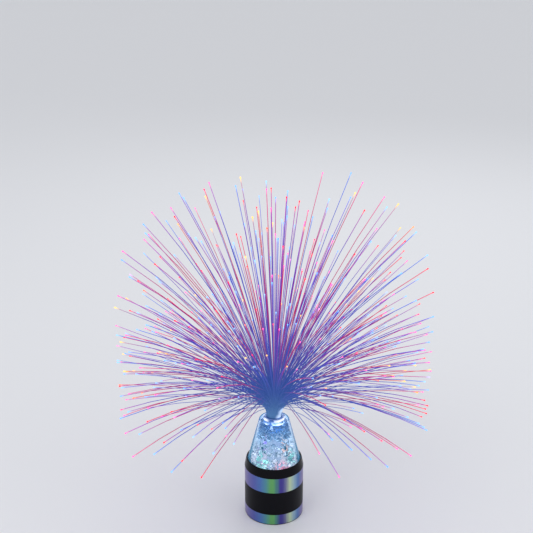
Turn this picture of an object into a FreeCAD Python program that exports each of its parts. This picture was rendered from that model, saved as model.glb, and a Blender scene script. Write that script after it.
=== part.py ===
import FreeCAD, Part
import math
import os

import Sketcher

# A battery fibre optic lamp: a round black base wrapped in two bands of bright foil, a clear tapering
# dome filled with ice chips, and a spray of light-carrying fibres that stands in a plug in the dome's top.
# Millimetres, +Z up, the surface it stands on at z = 0, its axis on Z and its front towards -Y.

DRIVING = {
    # base shell, its rubber ring and its foil bands
    "foot_height": 1.0,
    "foot_width": 1.2,
    "foot_inset": 0.3,
    "base_radius": 32.0,
    "base_height": 56.0,
    "shell_wall": 1.6,
    "foil_thickness": 0.4,
    "lower_foil_height": 11.6,
    "belt_height": 27.1,
    "ledge_depth": 7.0,
    "ledge_thickness": 1.6,
    "ledge_width": 8.4,
    # clearances
    "running_gap": 0.05,
    "easy_gap": 0.1,
    "glue_gap": 0.02,
    # retaining ring
    "ring_height": 9.6,
    "ring_skirt_wall": 0.95,
    "ring_taper": 1.8,
    "ring_band_height": 1.2,
    "ring_lip_thickness": 1.1,
    "bead_reach": 0.25,
    "bead_height": 1.0,
    "bead_rise": 2.8,
    # ice dome
    "dome_flange": 0.7,
    "dome_height": 62.4,
    "dome_top_radius": 15.9,
    "dome_wall": 1.65,
    "dome_top_wall": 2.0,
    "dome_edge_round": 2.4,
    "socket_wall": 1.2,
    "socket_depth": 14.0,
    # light guide, floor and chips
    "floor_thickness": 1.6,
    "guide_foot_radius": 7.4,
    "guide_top_radius": 8.2,
    "guide_cup_depth": 1.8,
    "guide_gap": 0.4,
    "chip_radius": 4.1,
    "chip_gap": 0.25,
    # plug collar and ferrule
    "collar_wall": 1.05,
    "collar_flange": 1.6,
    "collar_flange_height": 1.6,
    "collar_length": 13.0,
    "ferrule_wall": 0.68,
    "ferrule_flange": 1.3,
    "ferrule_flange_height": 1.5,
    "ferrule_length": 17.4,
    # fibres
    "fibre_diameter": 0.7,
    "bundle_radius": 8.0,
    "fibre_count": 256,
    "fibre_length": 278.0,
    "bend_length": 50.0,
    "widest_bend": 99.0,
    "droop": 28.0,
    "spray_radius": 164.0,
    "spray_top": 372.0,
    "uneven_top": 12.0,
    "droop_length": 200.0,
    "shortest_run": 20.0,
    "trim_step": 1.0,
    # base plate, battery bay and door
    "plate_recess": 0.4,
    "plate_thickness": 2.4,
    "bay_wall": 1.5,
    "bay_corner": 2.0,
    "bay_margin": 0.3695,
    "boss_clearance": 1.56666,
    "cell_button": 0.8,
    "cell_button_radius": 1.9,
    "cell_spacing": 0.4,
    "cell_play": 0.3,
    "contact_thickness": 0.4,
    "contact_width": 7.0,
    "contact_height": 8.0,
    "leaf_length": 3.2,
    "leaf_thickness": 0.3,
    "leaf_width": 4.0,
    "tail_width": 2.0,
    "tail_height": 2.5,
    "door_thickness": 1.8,
    "door_gap": 0.2,
    "hinge_setback": 1.5,
    "hinge_rise": 1.2,
    "knuckle_radius": 1.1,
    "knuckle_length": 16.0,
    "hinge_pin_radius": 0.6,
    "hinge_pin_length": 2.0,
    "tongue_width": 10.0,
    "tongue_reach": 1.6,
    # screws
    "screw_radius": 1.0,
    "screw_head_radius": 2.1,
    "screw_head_height": 1.2,
    "screw_length": 9.0,
    "boss_radius": 3.0,
    "boss_height": 11.0,
    "boss_setback": 4.4,
    "rib_width": 2.0,
    # circuit board and lights
    "board_gap": 2.0,
    "board_thickness": 1.6,
    "board_post_height": 3.4,
    "board_post_setback": 5.2,
    "board_screw_length": 4.4,
    "main_led_radius": 5.0,
    "main_led_height": 8.0,
    "led_rim": 0.6,
    "led_rim_height": 1.0,
    "led_gap": 0.3,
    "ice_led_radius": 2.5,
    "ice_led_height": 4.6,
    "ice_led_circle": 15.0,
    "lead_radius": 0.25,
    "lead_length": 3.4,
    "controller_length": 8.0,
    "controller_width": 5.0,
    "controller_height": 1.5,
    "controller_setback": 7.5,
    "resistor_length": 3.2,
    "resistor_width": 1.6,
    "resistor_height": 0.6,
    "resistor_spacing": 6.0,
    "resistor_setback": 8.2,
    # switch
    "switch_height": 26.0,
    "slot_width": 5.0,
    "knob_length": 5.6,
    "knob_reach": 1.3,
    "switch_travel": 4.0,
    "slider_width": 8.0,
    "slider_length": 18.4,
    "slider_thickness": 1.0,
    "slider_setback": 0.8,
    "switch_body_width": 11.0,
    "switch_body_depth": 5.0,
    "switch_body_length": 17.0,
    "rail_thickness": 1.5,
    # wires
    "wire_diameter": 1.2,
    "wire_bend": 3.0,
    "wire_rise": 9.0,
    "wire_drop": 2.0,
    "wire_inset": 9.0,
    "wire_slack": 7.0,
    "terminal_spacing": 3.0,
    "terminal_low": 3.0,
    "terminal_high": 4.0,
    # sizes that follow others: what sits in the shell takes its size from the room that the shell leaves
    "ring_top_radius": "=base_radius - ring_taper",
    "dome_radius": "=base_radius - shell_wall - running_gap - ring_skirt_wall - easy_gap - dome_flange",
    "board_radius": "=base_radius - shell_wall - board_gap",
    "board_post_circle": "=base_radius - shell_wall - board_post_setback",
    "boss_circle": "=base_radius - shell_wall - boss_setback",
    "boss_reach": "=boss_circle * sin(60deg) - boss_radius - boss_clearance",
    "cell_diameter": "=(boss_reach - bay_wall - cell_spacing - cell_play) / 1.5",
    "bay_corner_reach": "=base_radius - shell_wall - bay_margin - bay_corner - bay_wall",
    "bay_corner_side": "=1.5 * cell_diameter + cell_spacing + cell_play - bay_corner",
    "bay_corner_end": "=sqrt(bay_corner_reach * bay_corner_reach - bay_corner_side * bay_corner_side)",
    "cell_length": "=2 * (bay_corner + bay_corner_end - contact_thickness) - leaf_length",
}

document = FreeCAD.newDocument("fibre_optic_lamp")
sheet = document.addObject("Spreadsheet::Sheet", "Sizes")
for row, (alias, value) in enumerate(DRIVING.items(), start=1):
    sheet.set(f"A{row}", alias)
    sheet.setAlias(f"B{row}", alias)
for row, value in enumerate(DRIVING.values(), start=1):
    sheet.set(f"B{row}", str(value))
document.recompute()


class Size:
    """A size with its number and the sheet expression that it follows."""

    def __init__(self, number, text):
        self.number = number
        self.text = text

    def __add__(self, other):
        other = as_size(other)
        return Size(self.number + other.number, f"({self.text} + {other.text})")

    def __sub__(self, other):
        other = as_size(other)
        return Size(self.number - other.number, f"({self.text} - {other.text})")

    def __mul__(self, other):
        other = as_size(other)
        return Size(self.number * other.number, f"({self.text} * {other.text})")

    def __truediv__(self, other):
        other = as_size(other)
        return Size(self.number / other.number, f"({self.text} / {other.text})")

    def __neg__(self):
        return as_size(0) - self

    __radd__ = __add__
    __rmul__ = __mul__

    def root(self):
        return Size(math.sqrt(self.number), f"sqrt({self.text})")


def as_size(value):
    """A bare number as a Size, so that the two mix."""
    return value if isinstance(value, Size) else Size(float(value), f"({float(value):.9g})")


class Sheet:
    """The sheet's cells as Sizes, by alias."""

    def __getattr__(self, alias):
        return Size(float(sheet.get(alias)), f"Sizes.{alias}")


S = Sheet()


# Heights, from the standing surface up.
SHELL_BOTTOM = S.foot_height
SHELL_TOP = SHELL_BOTTOM + S.base_height
LOWER_FOIL_TOP = SHELL_BOTTOM + S.lower_foil_height
BELT_TOP = LOWER_FOIL_TOP + S.belt_height
LEDGE_TOP = SHELL_TOP - S.ledge_depth
LEDGE_BOTTOM = LEDGE_TOP - S.ledge_thickness
FLOOR_TOP = LEDGE_TOP + S.floor_thickness
RING_TOP = SHELL_TOP + S.ring_height
DOME_TOP = FLOOR_TOP + S.dome_height
DOME_STEP = RING_TOP - S.ring_lip_thickness - S.easy_gap
SOCKET_BOTTOM = DOME_TOP - S.socket_depth
COLLAR_TOP = DOME_TOP + S.collar_flange_height
MOUTH = COLLAR_TOP + S.easy_gap + S.ferrule_flange_height
FERRULE_BOTTOM = MOUTH - S.ferrule_length
GUIDE_TOP = FERRULE_BOTTOM - S.guide_gap
BOARD_TOP = LEDGE_BOTTOM - S.board_post_height
BOARD_BOTTOM = BOARD_TOP - S.board_thickness
PLATE_BOTTOM = SHELL_BOTTOM + S.plate_recess
PLATE_TOP = PLATE_BOTTOM + S.plate_thickness

# Radii, from the axis out.
SHELL_INSIDE = S.base_radius - S.shell_wall
FOIL_SEAT = S.base_radius - S.foil_thickness
RING_SKIRT_OUTSIDE = SHELL_INSIDE - S.running_gap
RING_SKIRT_INSIDE = RING_SKIRT_OUTSIDE - S.ring_skirt_wall
DOME_FOOT = S.dome_radius + S.dome_flange
BUNDLE_EDGE = S.bundle_radius + S.fibre_diameter / 2
FERRULE_BORE = BUNDLE_EDGE + S.running_gap
FERRULE_OUTSIDE = FERRULE_BORE + S.ferrule_wall
COLLAR_BORE = FERRULE_OUTSIDE + S.running_gap
COLLAR_OUTSIDE = COLLAR_BORE + S.collar_wall
SOCKET_BORE = COLLAR_OUTSIDE + S.running_gap
SOCKET_OUTSIDE = SOCKET_BORE + S.socket_wall

# The battery bay: three cells side by side, each along X, and the door that closes it from below.
CELL_PITCH = S.cell_diameter + S.cell_spacing
BAY_HALF_WIDTH = CELL_PITCH + S.cell_diameter / 2 + S.cell_play
BAY_HALF_LENGTH = (S.cell_length + S.leaf_length) / 2 + S.contact_thickness
DOOR_TOP = PLATE_BOTTOM + S.door_thickness
CELL_HEIGHT = DOOR_TOP + S.cell_play + S.cell_diameter / 2
BAY_CEILING = CELL_HEIGHT + S.cell_diameter / 2 + S.cell_play
BAY_TOP = BAY_CEILING + S.bay_wall
CONTACT_FACE = BAY_HALF_LENGTH - S.contact_thickness
HINGE_Y = -(BAY_HALF_WIDTH + S.hinge_setback)
HINGE_Z = PLATE_BOTTOM + S.hinge_rise
DOOR_HINGE_EDGE = HINGE_Y + (S.hinge_setback * S.hinge_setback + S.hinge_rise * S.hinge_rise).root() + S.easy_gap
DOOR_TONGUE_EDGE = BAY_HALF_WIDTH - S.door_gap
DOOR_HALF_LENGTH = BAY_HALF_LENGTH - S.door_gap

BOSS_ANGLES = (60.0, 120.0, 270.0)
POST_ANGLES = (30.0, 150.0, 270.0)
ICE_LED_ANGLES = (45.0, 135.0, 225.0, 315.0)
ALONG_X = FreeCAD.Rotation(FreeCAD.Vector(0, 1, 0), 90)
UPRIGHT = FreeCAD.Rotation()

parts = {}


def number(value):
    """The plain number of a Size or of a number."""
    return as_size(value).number


def bind(thing, path, value):
    """Ties one property of an object to the sheet."""
    thing.setExpression(path, as_size(value).text)


def place(thing, at=(0, 0, 0), rotation=UPRIGHT):
    """Sets where an object stands, with each coordinate tied to the sheet."""
    thing.Placement = FreeCAD.Placement(FreeCAD.Vector(*[number(value) for value in at]), rotation)
    for axis, value in zip("xyz", at):
        if isinstance(value, Size):
            bind(thing, f"Placement.Base.{axis}", value)


def part_body(label):
    """A new sub-part."""
    body = document.addObject("PartDesign::Body", label)
    body.Label = label
    parts[label] = body
    return body


def origin_plane(body, role):
    """One of a body's own origin planes."""
    return [item for item in body.Origin.OriginFeatures if item.Role == role][0]


def outline(body, name, role, corners):
    """A closed outline of straight sides in one of the body's own planes, each corner tied to the sheet."""
    sketch = body.newObject("Sketcher::SketchObject", name)
    sketch.AttachmentSupport = [(origin_plane(body, role), "")]
    sketch.MapMode = "FlatFace"
    points = [FreeCAD.Vector(number(x), number(y), 0) for x, y in corners]
    count = len(points)
    for index in range(count):
        sketch.addGeometry(Part.LineSegment(points[index], points[(index + 1) % count]), False)
    for index in range(count):
        sketch.addConstraint(Sketcher.Constraint("Coincident", index, 2, (index + 1) % count, 1))
    for index, (x, y) in enumerate(corners):
        pin_corner(sketch, index, "DistanceX", x, -2)
        pin_corner(sketch, index, "DistanceY", y, -1)
    return sketch


def pin_corner(sketch, index, kind, value, zero_axis):
    """Holds one coordinate of a side's first corner, on an axis where the coordinate is nothing."""
    if not isinstance(value, Size):
        sketch.addConstraint(Sketcher.Constraint("PointOnObject", index, 1, zero_axis))
        return
    constraint = sketch.addConstraint(Sketcher.Constraint(kind, -1, 1, index, 1, value.number))
    bind(sketch, f"Constraints[{constraint}]", value)


def turned(label, corners, at=(0, 0, 0), rotation=UPRIGHT):
    """A sub-part turned about its own Z axis from a half section of (radius, height) corners."""
    body = part_body(label)
    sketch = outline(body, f"{label}_section", "XZ_Plane", corners)
    turn = body.newObject("PartDesign::Revolution", f"{label}_turned")
    turn.Profile = sketch
    turn.ReferenceAxis = (sketch, ["V_Axis"])
    turn.Angle = 360
    sketch.Visibility = False
    place(body, at, rotation)
    return body


def rod(body, name, radius, height, at, cut=False, rotation=UPRIGHT):
    """A round rod added to a body, or a round hole cut in it."""
    kind = "PartDesign::SubtractiveCylinder" if cut else "PartDesign::AdditiveCylinder"
    feature = body.newObject(kind, name)
    feature.Radius = number(radius)
    feature.Height = number(height)
    bind(feature, "Radius", radius)
    bind(feature, "Height", height)
    place(feature, at, rotation)
    return feature


def block(body, name, low, high, cut=False, yaw=0.0):
    """A block added to a body, or a pocket cut in it, from its low corner to its high one, then turned by yaw."""
    kind = "PartDesign::SubtractiveBox" if cut else "PartDesign::AdditiveBox"
    feature = body.newObject(kind, name)
    for prop, start, end in zip(("Length", "Width", "Height"), low, high):
        span = as_size(end) - as_size(start)
        setattr(feature, prop, span.number)
        bind(feature, prop, span)
    if yaw:
        cosine = math.cos(math.radians(yaw))
        sine = math.sin(math.radians(yaw))
        turned_low = (low[0] * cosine - low[1] * sine, low[0] * sine + low[1] * cosine, low[2])
        place(feature, turned_low, FreeCAD.Rotation(FreeCAD.Vector(0, 0, 1), yaw))
    else:
        place(feature, low)
    return feature


def round_edges(body, name, radius, wanted):
    """Rounds the edges of a body's last feature that the test picks by their centre."""
    document.recompute()
    base = body.Tip
    names = []
    for index, edge in enumerate(base.Shape.Edges, start=1):
        if wanted(edge):
            names.append(f"Edge{index}")
    fillet = body.newObject("PartDesign::Fillet", name)
    fillet.Base = (base, names)
    fillet.Radius = number(radius)
    bind(fillet, "Radius", radius)
    return fillet


def is_circle(edge, radius, height):
    """Whether an edge is the level circle of that radius, about the axis at that height."""
    centre = edge.BoundBox.Center
    width = edge.BoundBox.XLength / 2
    return abs(centre.z - number(height)) < 0.01 and abs(width - number(radius)) < 0.01


def is_upright_at(edge, x, y, tolerance=0.05):
    """Whether an edge is a vertical line at that distance from both planes of symmetry."""
    box = edge.BoundBox
    upright = box.XLength < tolerance and box.YLength < tolerance and box.ZLength > 0.5
    return upright and abs(abs(box.Center.x) - number(x)) < tolerance and abs(abs(box.Center.y) - number(y)) < tolerance


def polar(circle, angle, height):
    """A place on a circle about the axis."""
    return (circle * math.cos(math.radians(angle)), circle * math.sin(math.radians(angle)), height)


# The base shell: a tube with a seat for each foil band, a ledge inside near its top, and a groove above the
# ledge where the retaining ring's bead snaps in.
def make_base_shell():
    bead_low = LEDGE_TOP + S.bead_rise - S.easy_gap
    bead_high = LEDGE_TOP + S.bead_rise + S.bead_height + S.easy_gap
    groove = SHELL_INSIDE + S.bead_reach + S.easy_gap
    body = turned("base_shell", [
        (SHELL_INSIDE, SHELL_BOTTOM), (FOIL_SEAT, SHELL_BOTTOM), (FOIL_SEAT, LOWER_FOIL_TOP),
        (S.base_radius, LOWER_FOIL_TOP), (S.base_radius, BELT_TOP), (FOIL_SEAT, BELT_TOP),
        (FOIL_SEAT, SHELL_TOP), (SHELL_INSIDE, SHELL_TOP), (SHELL_INSIDE, bead_high),
        (groove, bead_high), (groove, bead_low), (SHELL_INSIDE, bead_low), (SHELL_INSIDE, LEDGE_TOP),
        (SHELL_INSIDE - S.ledge_width, LEDGE_TOP), (SHELL_INSIDE - S.ledge_width, LEDGE_BOTTOM),
        (SHELL_INSIDE, LEDGE_BOTTOM)])
    in_wall = SHELL_INSIDE + S.shell_wall / 4
    for index, angle in enumerate(BOSS_ANGLES, start=1):
        rod(body, f"plate_boss_{index}", S.boss_radius, S.boss_height, polar(S.boss_circle, angle, PLATE_TOP))
        block(body, f"boss_rib_{index}", (S.boss_circle, -(S.rib_width / 2), PLATE_TOP),
              (in_wall, S.rib_width / 2, PLATE_TOP + S.boss_height), yaw=angle)
    hole = S.screw_radius + S.running_gap
    for index, angle in enumerate(BOSS_ANGLES, start=1):
        rod(body, f"plate_boss_hole_{index}", hole, S.screw_length, polar(S.boss_circle, angle, PLATE_TOP), cut=True)
    for index, angle in enumerate(POST_ANGLES, start=1):
        rod(body, f"board_post_{index}", S.boss_radius, S.board_post_height + S.ledge_thickness / 2,
            polar(S.board_post_circle, angle, BOARD_TOP))
    for index, angle in enumerate(POST_ANGLES, start=1):
        rod(body, f"board_post_hole_{index}", hole, S.board_post_height + S.ledge_thickness / 2,
            polar(S.board_post_circle, angle, BOARD_TOP), cut=True)
    cut_switch_slot(body)
    add_switch_rails(body)
    return body


# The switch is on the back, in the bare belt between the foil bands.
SLIDER_OUTSIDE = SHELL_INSIDE - S.slider_setback
SLIDER_INSIDE = SLIDER_OUTSIDE - S.slider_thickness
SWITCH_FACE = SLIDER_INSIDE - S.easy_gap
SWITCH_BACK = SWITCH_FACE - S.switch_body_depth
SLOT_HALF_LENGTH = (S.knob_length + S.switch_travel) / 2 + S.easy_gap * 2
RAIL_INSIDE = S.switch_body_width / 2 + S.easy_gap


def cut_switch_slot(body):
    """The slot that the switch's knob slides in."""
    block(body, "switch_slot", (-(S.slot_width / 2), SLIDER_OUTSIDE, S.switch_height - SLOT_HALF_LENGTH),
          (S.slot_width / 2, S.base_radius + 1, S.switch_height + SLOT_HALF_LENGTH), cut=True)


def add_switch_rails(body):
    """Two ribs behind the wall that hold the switch between them."""
    half = S.switch_body_length / 2
    rail_outside = RAIL_INSIDE + S.rail_thickness
    low = S.switch_height - half
    high = S.switch_height + half
    end = SHELL_INSIDE - S.easy_gap
    block(body, "switch_rail_1", (RAIL_INSIDE, SWITCH_BACK, low), (rail_outside, end, high))
    block(body, "switch_rail_2", (-rail_outside, SWITCH_BACK, low), (-RAIL_INSIDE, end, high))


# The two foil bands lie in the shell's seats, and the rubber ring is stuck under the shell's edge.
def make_foil_band(label, low, high):
    inside = FOIL_SEAT + S.glue_gap
    return turned(label, [(inside, low), (S.base_radius, low), (S.base_radius, high), (inside, high)])


def make_foot_ring():
    outside = S.base_radius - S.foot_inset
    inside = outside - S.foot_width
    nothing = as_size(0) * S.foot_height
    return turned("foot_ring", [(inside, nothing), (outside, nothing), (outside, S.foot_height),
                                (inside, S.foot_height)])


# The base plate closes the shell from below and carries the battery bay as a tub.
def make_base_plate():
    body = part_body("base_plate")
    tub_x = BAY_HALF_LENGTH + S.bay_wall
    tub_y = BAY_HALF_WIDTH + S.bay_wall
    block(body, "bay_tub", (-tub_x, -tub_y, PLATE_BOTTOM), (tub_x, tub_y, BAY_TOP))
    round_edges(body, "bay_tub_corners", S.bay_corner + S.bay_wall, lambda edge: is_upright_at(edge, tub_x, tub_y))
    rod(body, "plate_disc", SHELL_INSIDE - S.easy_gap, S.plate_thickness, (0, 0, PLATE_BOTTOM))
    block(body, "bay_space", (-BAY_HALF_LENGTH, -BAY_HALF_WIDTH, PLATE_BOTTOM),
          (BAY_HALF_LENGTH, BAY_HALF_WIDTH, BAY_CEILING), cut=True)
    round_edges(body, "bay_corners", S.bay_corner, lambda edge: is_upright_at(edge, BAY_HALF_LENGTH, BAY_HALF_WIDTH))
    cut_hinge(body)
    cut_tongue_notch(body)
    for index, angle in enumerate(BOSS_ANGLES, start=1):
        rod(body, f"plate_hole_{index}", S.screw_radius + S.easy_gap, S.plate_thickness,
            polar(S.boss_circle, angle, PLATE_BOTTOM), cut=True)
        rod(body, f"plate_counterbore_{index}", S.screw_head_radius + S.easy_gap, S.screw_head_height,
            polar(S.boss_circle, angle, PLATE_BOTTOM), cut=True)
    cut_tail_slots(body)
    return body


def cut_hinge(body):
    """The pocket for the door's knuckle, and the bore for its two stub pins."""
    half = S.knuckle_length / 2 + S.door_gap
    reach = S.knuckle_radius + S.door_gap
    block(body, "hinge_pocket", (-half, HINGE_Y - reach, PLATE_BOTTOM), (half, -BAY_HALF_WIDTH, HINGE_Z + reach),
          cut=True)
    bore_half = S.knuckle_length / 2 + S.hinge_pin_length + S.door_gap
    rod(body, "hinge_bore", S.hinge_pin_radius + S.running_gap, bore_half * 2, (-bore_half, HINGE_Y, HINGE_Z),
        cut=True, rotation=ALONG_X)


def cut_tongue_notch(body):
    """The notch that the door's tongue snaps into, and a hollow beside it for a fingertip."""
    half = S.tongue_width / 2 + S.door_gap
    end = DOOR_TONGUE_EDGE + S.tongue_reach + S.door_gap
    block(body, "tongue_notch", (-half, BAY_HALF_WIDTH - S.door_gap, PLATE_BOTTOM),
          (half, end, DOOR_TOP + S.easy_gap), cut=True)
    rod(body, "finger_hollow", S.tongue_width / 2, S.plate_thickness / 2, (0, end, PLATE_BOTTOM), cut=True)


def cut_tail_slots(body):
    """Slots in the bay's ceiling for the tails of the two end contacts."""
    half = S.tail_width / 2 + S.door_gap
    for name, side, row in (("positive_slot", 1, -1), ("negative_slot", -1, 1)):
        near = CONTACT_FACE - S.door_gap
        low_x = near if side > 0 else -BAY_HALF_LENGTH
        high_x = BAY_HALF_LENGTH if side > 0 else -near
        middle = CELL_PITCH * row
        block(body, name, (low_x, middle - half, BAY_CEILING - S.bay_wall / 2), (high_x, middle + half, BAY_TOP),
              cut=True)


# One screw with a round head below, its head's underside resting at the given height.
def make_screw(label, length, at):
    return turned(label, [
        (0, -S.screw_head_height), (S.screw_head_radius, -S.screw_head_height),
        (S.screw_head_radius, as_size(0) * S.screw_radius), (S.screw_radius, as_size(0) * S.screw_radius),
        (S.screw_radius, length), (0, length)], at)


def make_screws():
    seat = PLATE_BOTTOM + S.screw_head_height
    length = S.screw_length - S.door_gap + S.plate_thickness - S.screw_head_height
    for index, angle in enumerate(BOSS_ANGLES, start=1):
        make_screw(f"plate_screw_{index}", length, polar(S.boss_circle, angle, seat))
    for index, angle in enumerate(POST_ANGLES, start=1):
        make_screw(f"board_screw_{index}", S.board_screw_length, polar(S.board_post_circle, angle, BOARD_BOTTOM))


# Three cells in a row, each turned round from the last, between leaf contacts and flat ones.
def make_cells():
    for index, row in enumerate((-1, 0, 1), start=1):
        flat = index % 2 == 0
        turn = FreeCAD.Rotation(FreeCAD.Vector(0, 1, 0), -90 if flat else 90)
        start = CONTACT_FACE - S.leaf_length
        body_length = S.cell_length - S.cell_button
        nothing = as_size(0) * S.cell_length
        turned(f"battery_cell_{index}", [
            (0, nothing), (S.cell_diameter / 2, nothing), (S.cell_diameter / 2, body_length),
            (S.cell_button_radius, body_length), (S.cell_button_radius, S.cell_length), (0, S.cell_length)],
            (start if flat else -start, CELL_PITCH * row, CELL_HEIGHT), turn)


def contact_plate(label, side, low_y, high_y, tail_y=None):
    """A flat contact on an end wall of the bay, with a tail up through the ceiling on the two end ones."""
    body = part_body(label)
    inner = CONTACT_FACE if side > 0 else -BAY_HALF_LENGTH
    outer = BAY_HALF_LENGTH if side > 0 else -CONTACT_FACE
    block(body, f"{label}_plate", (inner, low_y, CELL_HEIGHT - S.contact_height / 2),
          (outer, high_y, CELL_HEIGHT + S.contact_height / 2))
    if tail_y is not None:
        block(body, f"{label}_tail", (inner, tail_y - S.tail_width / 2, CELL_HEIGHT),
              (outer, tail_y + S.tail_width / 2, BAY_TOP + S.tail_height))
    return body


def contact_leaf(label, side, row):
    """A bent strip that presses on a cell's flat end."""
    body = part_body(label)
    base = CONTACT_FACE
    tip = CONTACT_FACE - S.leaf_length + S.leaf_thickness
    half = S.contact_height / 2
    thick = S.leaf_thickness
    corners = [(base, CELL_HEIGHT - half), (base, CELL_HEIGHT - half + thick), (tip, CELL_HEIGHT + thick),
               (base - thick, CELL_HEIGHT + half - thick), (base - thick, CELL_HEIGHT + half),
               (tip - thick, CELL_HEIGHT + thick * 1.5), (tip - thick, CELL_HEIGHT - thick / 2),
               (base - thick, CELL_HEIGHT - half)]
    if side < 0:
        corners = [(-x, z) for x, z in corners]
    sketch = outline(body, f"{label}_side", "XZ_Plane", corners)
    pad = body.newObject("PartDesign::Pad", f"{label}_strip")
    pad.Profile = sketch
    pad.Length = S.leaf_width.number
    bind(pad, "Length", S.leaf_width)
    pad.SideType = "Symmetric"
    sketch.Visibility = False
    place(body, (0, CELL_PITCH * row, 0))
    return body


def make_contacts():
    half = S.contact_width / 2
    contact_plate("positive_contact", 1, -CELL_PITCH - half, -CELL_PITCH + half, -CELL_PITCH)
    contact_plate("linking_contact_1", -1, -CELL_PITCH - half, half)
    contact_plate("linking_contact_2", 1, -half, CELL_PITCH + half)
    contact_plate("negative_contact", -1, CELL_PITCH - half, CELL_PITCH + half, CELL_PITCH)
    contact_leaf("contact_leaf_1", -1, -1)
    contact_leaf("contact_leaf_2", 1, 0)
    contact_leaf("contact_leaf_3", -1, 1)


# The battery door: a panel with a knuckle and stub pins on its front edge and a snap tongue on its back edge.
def make_battery_door():
    body = part_body("battery_door")
    block(body, "door_panel", (-DOOR_HALF_LENGTH, DOOR_HINGE_EDGE, PLATE_BOTTOM),
          (DOOR_HALF_LENGTH, DOOR_TONGUE_EDGE, DOOR_TOP))
    round_edges(body, "door_corners", S.bay_corner, lambda edge: is_upright_at(edge, DOOR_HALF_LENGTH, abs_y(edge)))
    half = S.knuckle_length / 2
    block(body, "door_arm", (-half, HINGE_Y, HINGE_Z - S.knuckle_radius + S.door_gap),
          (half, DOOR_HINGE_EDGE + 1, DOOR_TOP))
    rod(body, "door_knuckle", S.knuckle_radius, S.knuckle_length, (-half, HINGE_Y, HINGE_Z), rotation=ALONG_X)
    pin_half = half + S.hinge_pin_length
    rod(body, "door_pins", S.hinge_pin_radius, pin_half * 2, (-pin_half, HINGE_Y, HINGE_Z), rotation=ALONG_X)
    block(body, "door_tongue", (-(S.tongue_width / 2), DOOR_TONGUE_EDGE - 1, PLATE_BOTTOM),
          (S.tongue_width / 2, DOOR_TONGUE_EDGE + S.tongue_reach, DOOR_TOP))
    return body


def abs_y(edge):
    """An upright edge's own distance from the plane of symmetry, so that only its x is tested."""
    return as_size(abs(edge.BoundBox.Center.y))


# The circuit board hangs under the ledge on three posts, with the spray's light in the middle, the chips'
# lights round it, and the controller and three resistors below.
def make_circuit_board():
    body = part_body("circuit_board")
    rod(body, "board_disc", S.board_radius, S.board_thickness, (0, 0, BOARD_BOTTOM))
    for index, angle in enumerate(POST_ANGLES, start=1):
        rod(body, f"board_hole_{index}", S.screw_radius + S.easy_gap, S.board_thickness,
            polar(S.board_post_circle, angle, BOARD_BOTTOM), cut=True)
    for name, angle, circle in led_places():
        for side in (-1, 1):
            x, y, _ = polar(circle, angle, 0)
            spot = (as_size(x) + lead_spacing(name) * side, y, BOARD_BOTTOM)
            rod(body, f"{name}_lead_hole_{'left' if side < 0 else 'right'}", S.lead_radius + S.easy_gap,
                S.board_thickness, spot, cut=True)
    return body


def led_places():
    """Each light's name, angle and circle."""
    rest = [(f"ice_led_{index}", angle, S.ice_led_circle) for index, angle in enumerate(ICE_LED_ANGLES, start=1)]
    return [("main_led", 0.0, S.ice_led_circle * 0)] + rest


def lead_spacing(name):
    """How far each lead stands from its light's middle."""
    return S.main_led_radius / 2 if name == "main_led" else S.ice_led_radius / 2


def make_led(label, angle, circle):
    """A round light with a rim, a domed top and two leads through the board."""
    main = label == "main_led"
    radius = S.main_led_radius if main else S.ice_led_radius
    height = S.main_led_height if main else S.ice_led_height
    nothing = as_size(0) * radius
    rim = radius + S.led_rim
    body = turned(label, [(0, nothing), (rim, nothing), (rim, S.led_rim_height), (radius, S.led_rim_height),
                          (radius, height), (0, height)], polar(circle, angle, BOARD_TOP))
    round_edges(body, f"{label}_dome", radius - S.running_gap, lambda edge: is_circle(edge, radius, height))
    for side in (-1, 1):
        rod(body, f"{label}_lead_{'left' if side < 0 else 'right'}", S.lead_radius, S.lead_length + S.led_rim_height / 2,
            (lead_spacing(label) * side, 0, -S.lead_length))
    return body


def make_board_parts():
    """The controller in its moulding and three resistors, soldered under the board."""
    chip = part_body("controller_chip")
    half = S.controller_length / 2
    near = -S.controller_setback
    block(chip, "chip_case", (-half, near - S.controller_width, BOARD_BOTTOM - S.controller_height),
          (half, near, BOARD_BOTTOM))
    for index in range(3):
        label = f"resistor_{index + 1}"
        body = part_body(label)
        middle = S.resistor_spacing * (index - 1)
        half = S.resistor_length / 2
        block(body, f"{label}_case", (middle - half, S.resistor_setback, BOARD_BOTTOM - S.resistor_height),
              (middle + half, S.resistor_setback + S.resistor_width, BOARD_BOTTOM))


# The chamber floor lets light up into the chips, and the light guide carries the main light to the bundle.
def make_chamber_floor():
    hole = S.main_led_radius + S.led_gap
    return turned("chamber_floor", [(hole, LEDGE_TOP), (DOME_FOOT, LEDGE_TOP), (DOME_FOOT, FLOOR_TOP),
                                    (hole, FLOOR_TOP)])


def make_light_guide():
    cup = S.main_led_radius + S.led_gap + S.easy_gap
    cup_top = FLOOR_TOP + S.guide_cup_depth
    return turned("light_guide", [(cup, FLOOR_TOP), (S.guide_foot_radius, FLOOR_TOP),
                                  (S.guide_top_radius, GUIDE_TOP), (0, GUIDE_TOP), (0, cup_top), (cup, cup_top)])


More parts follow.
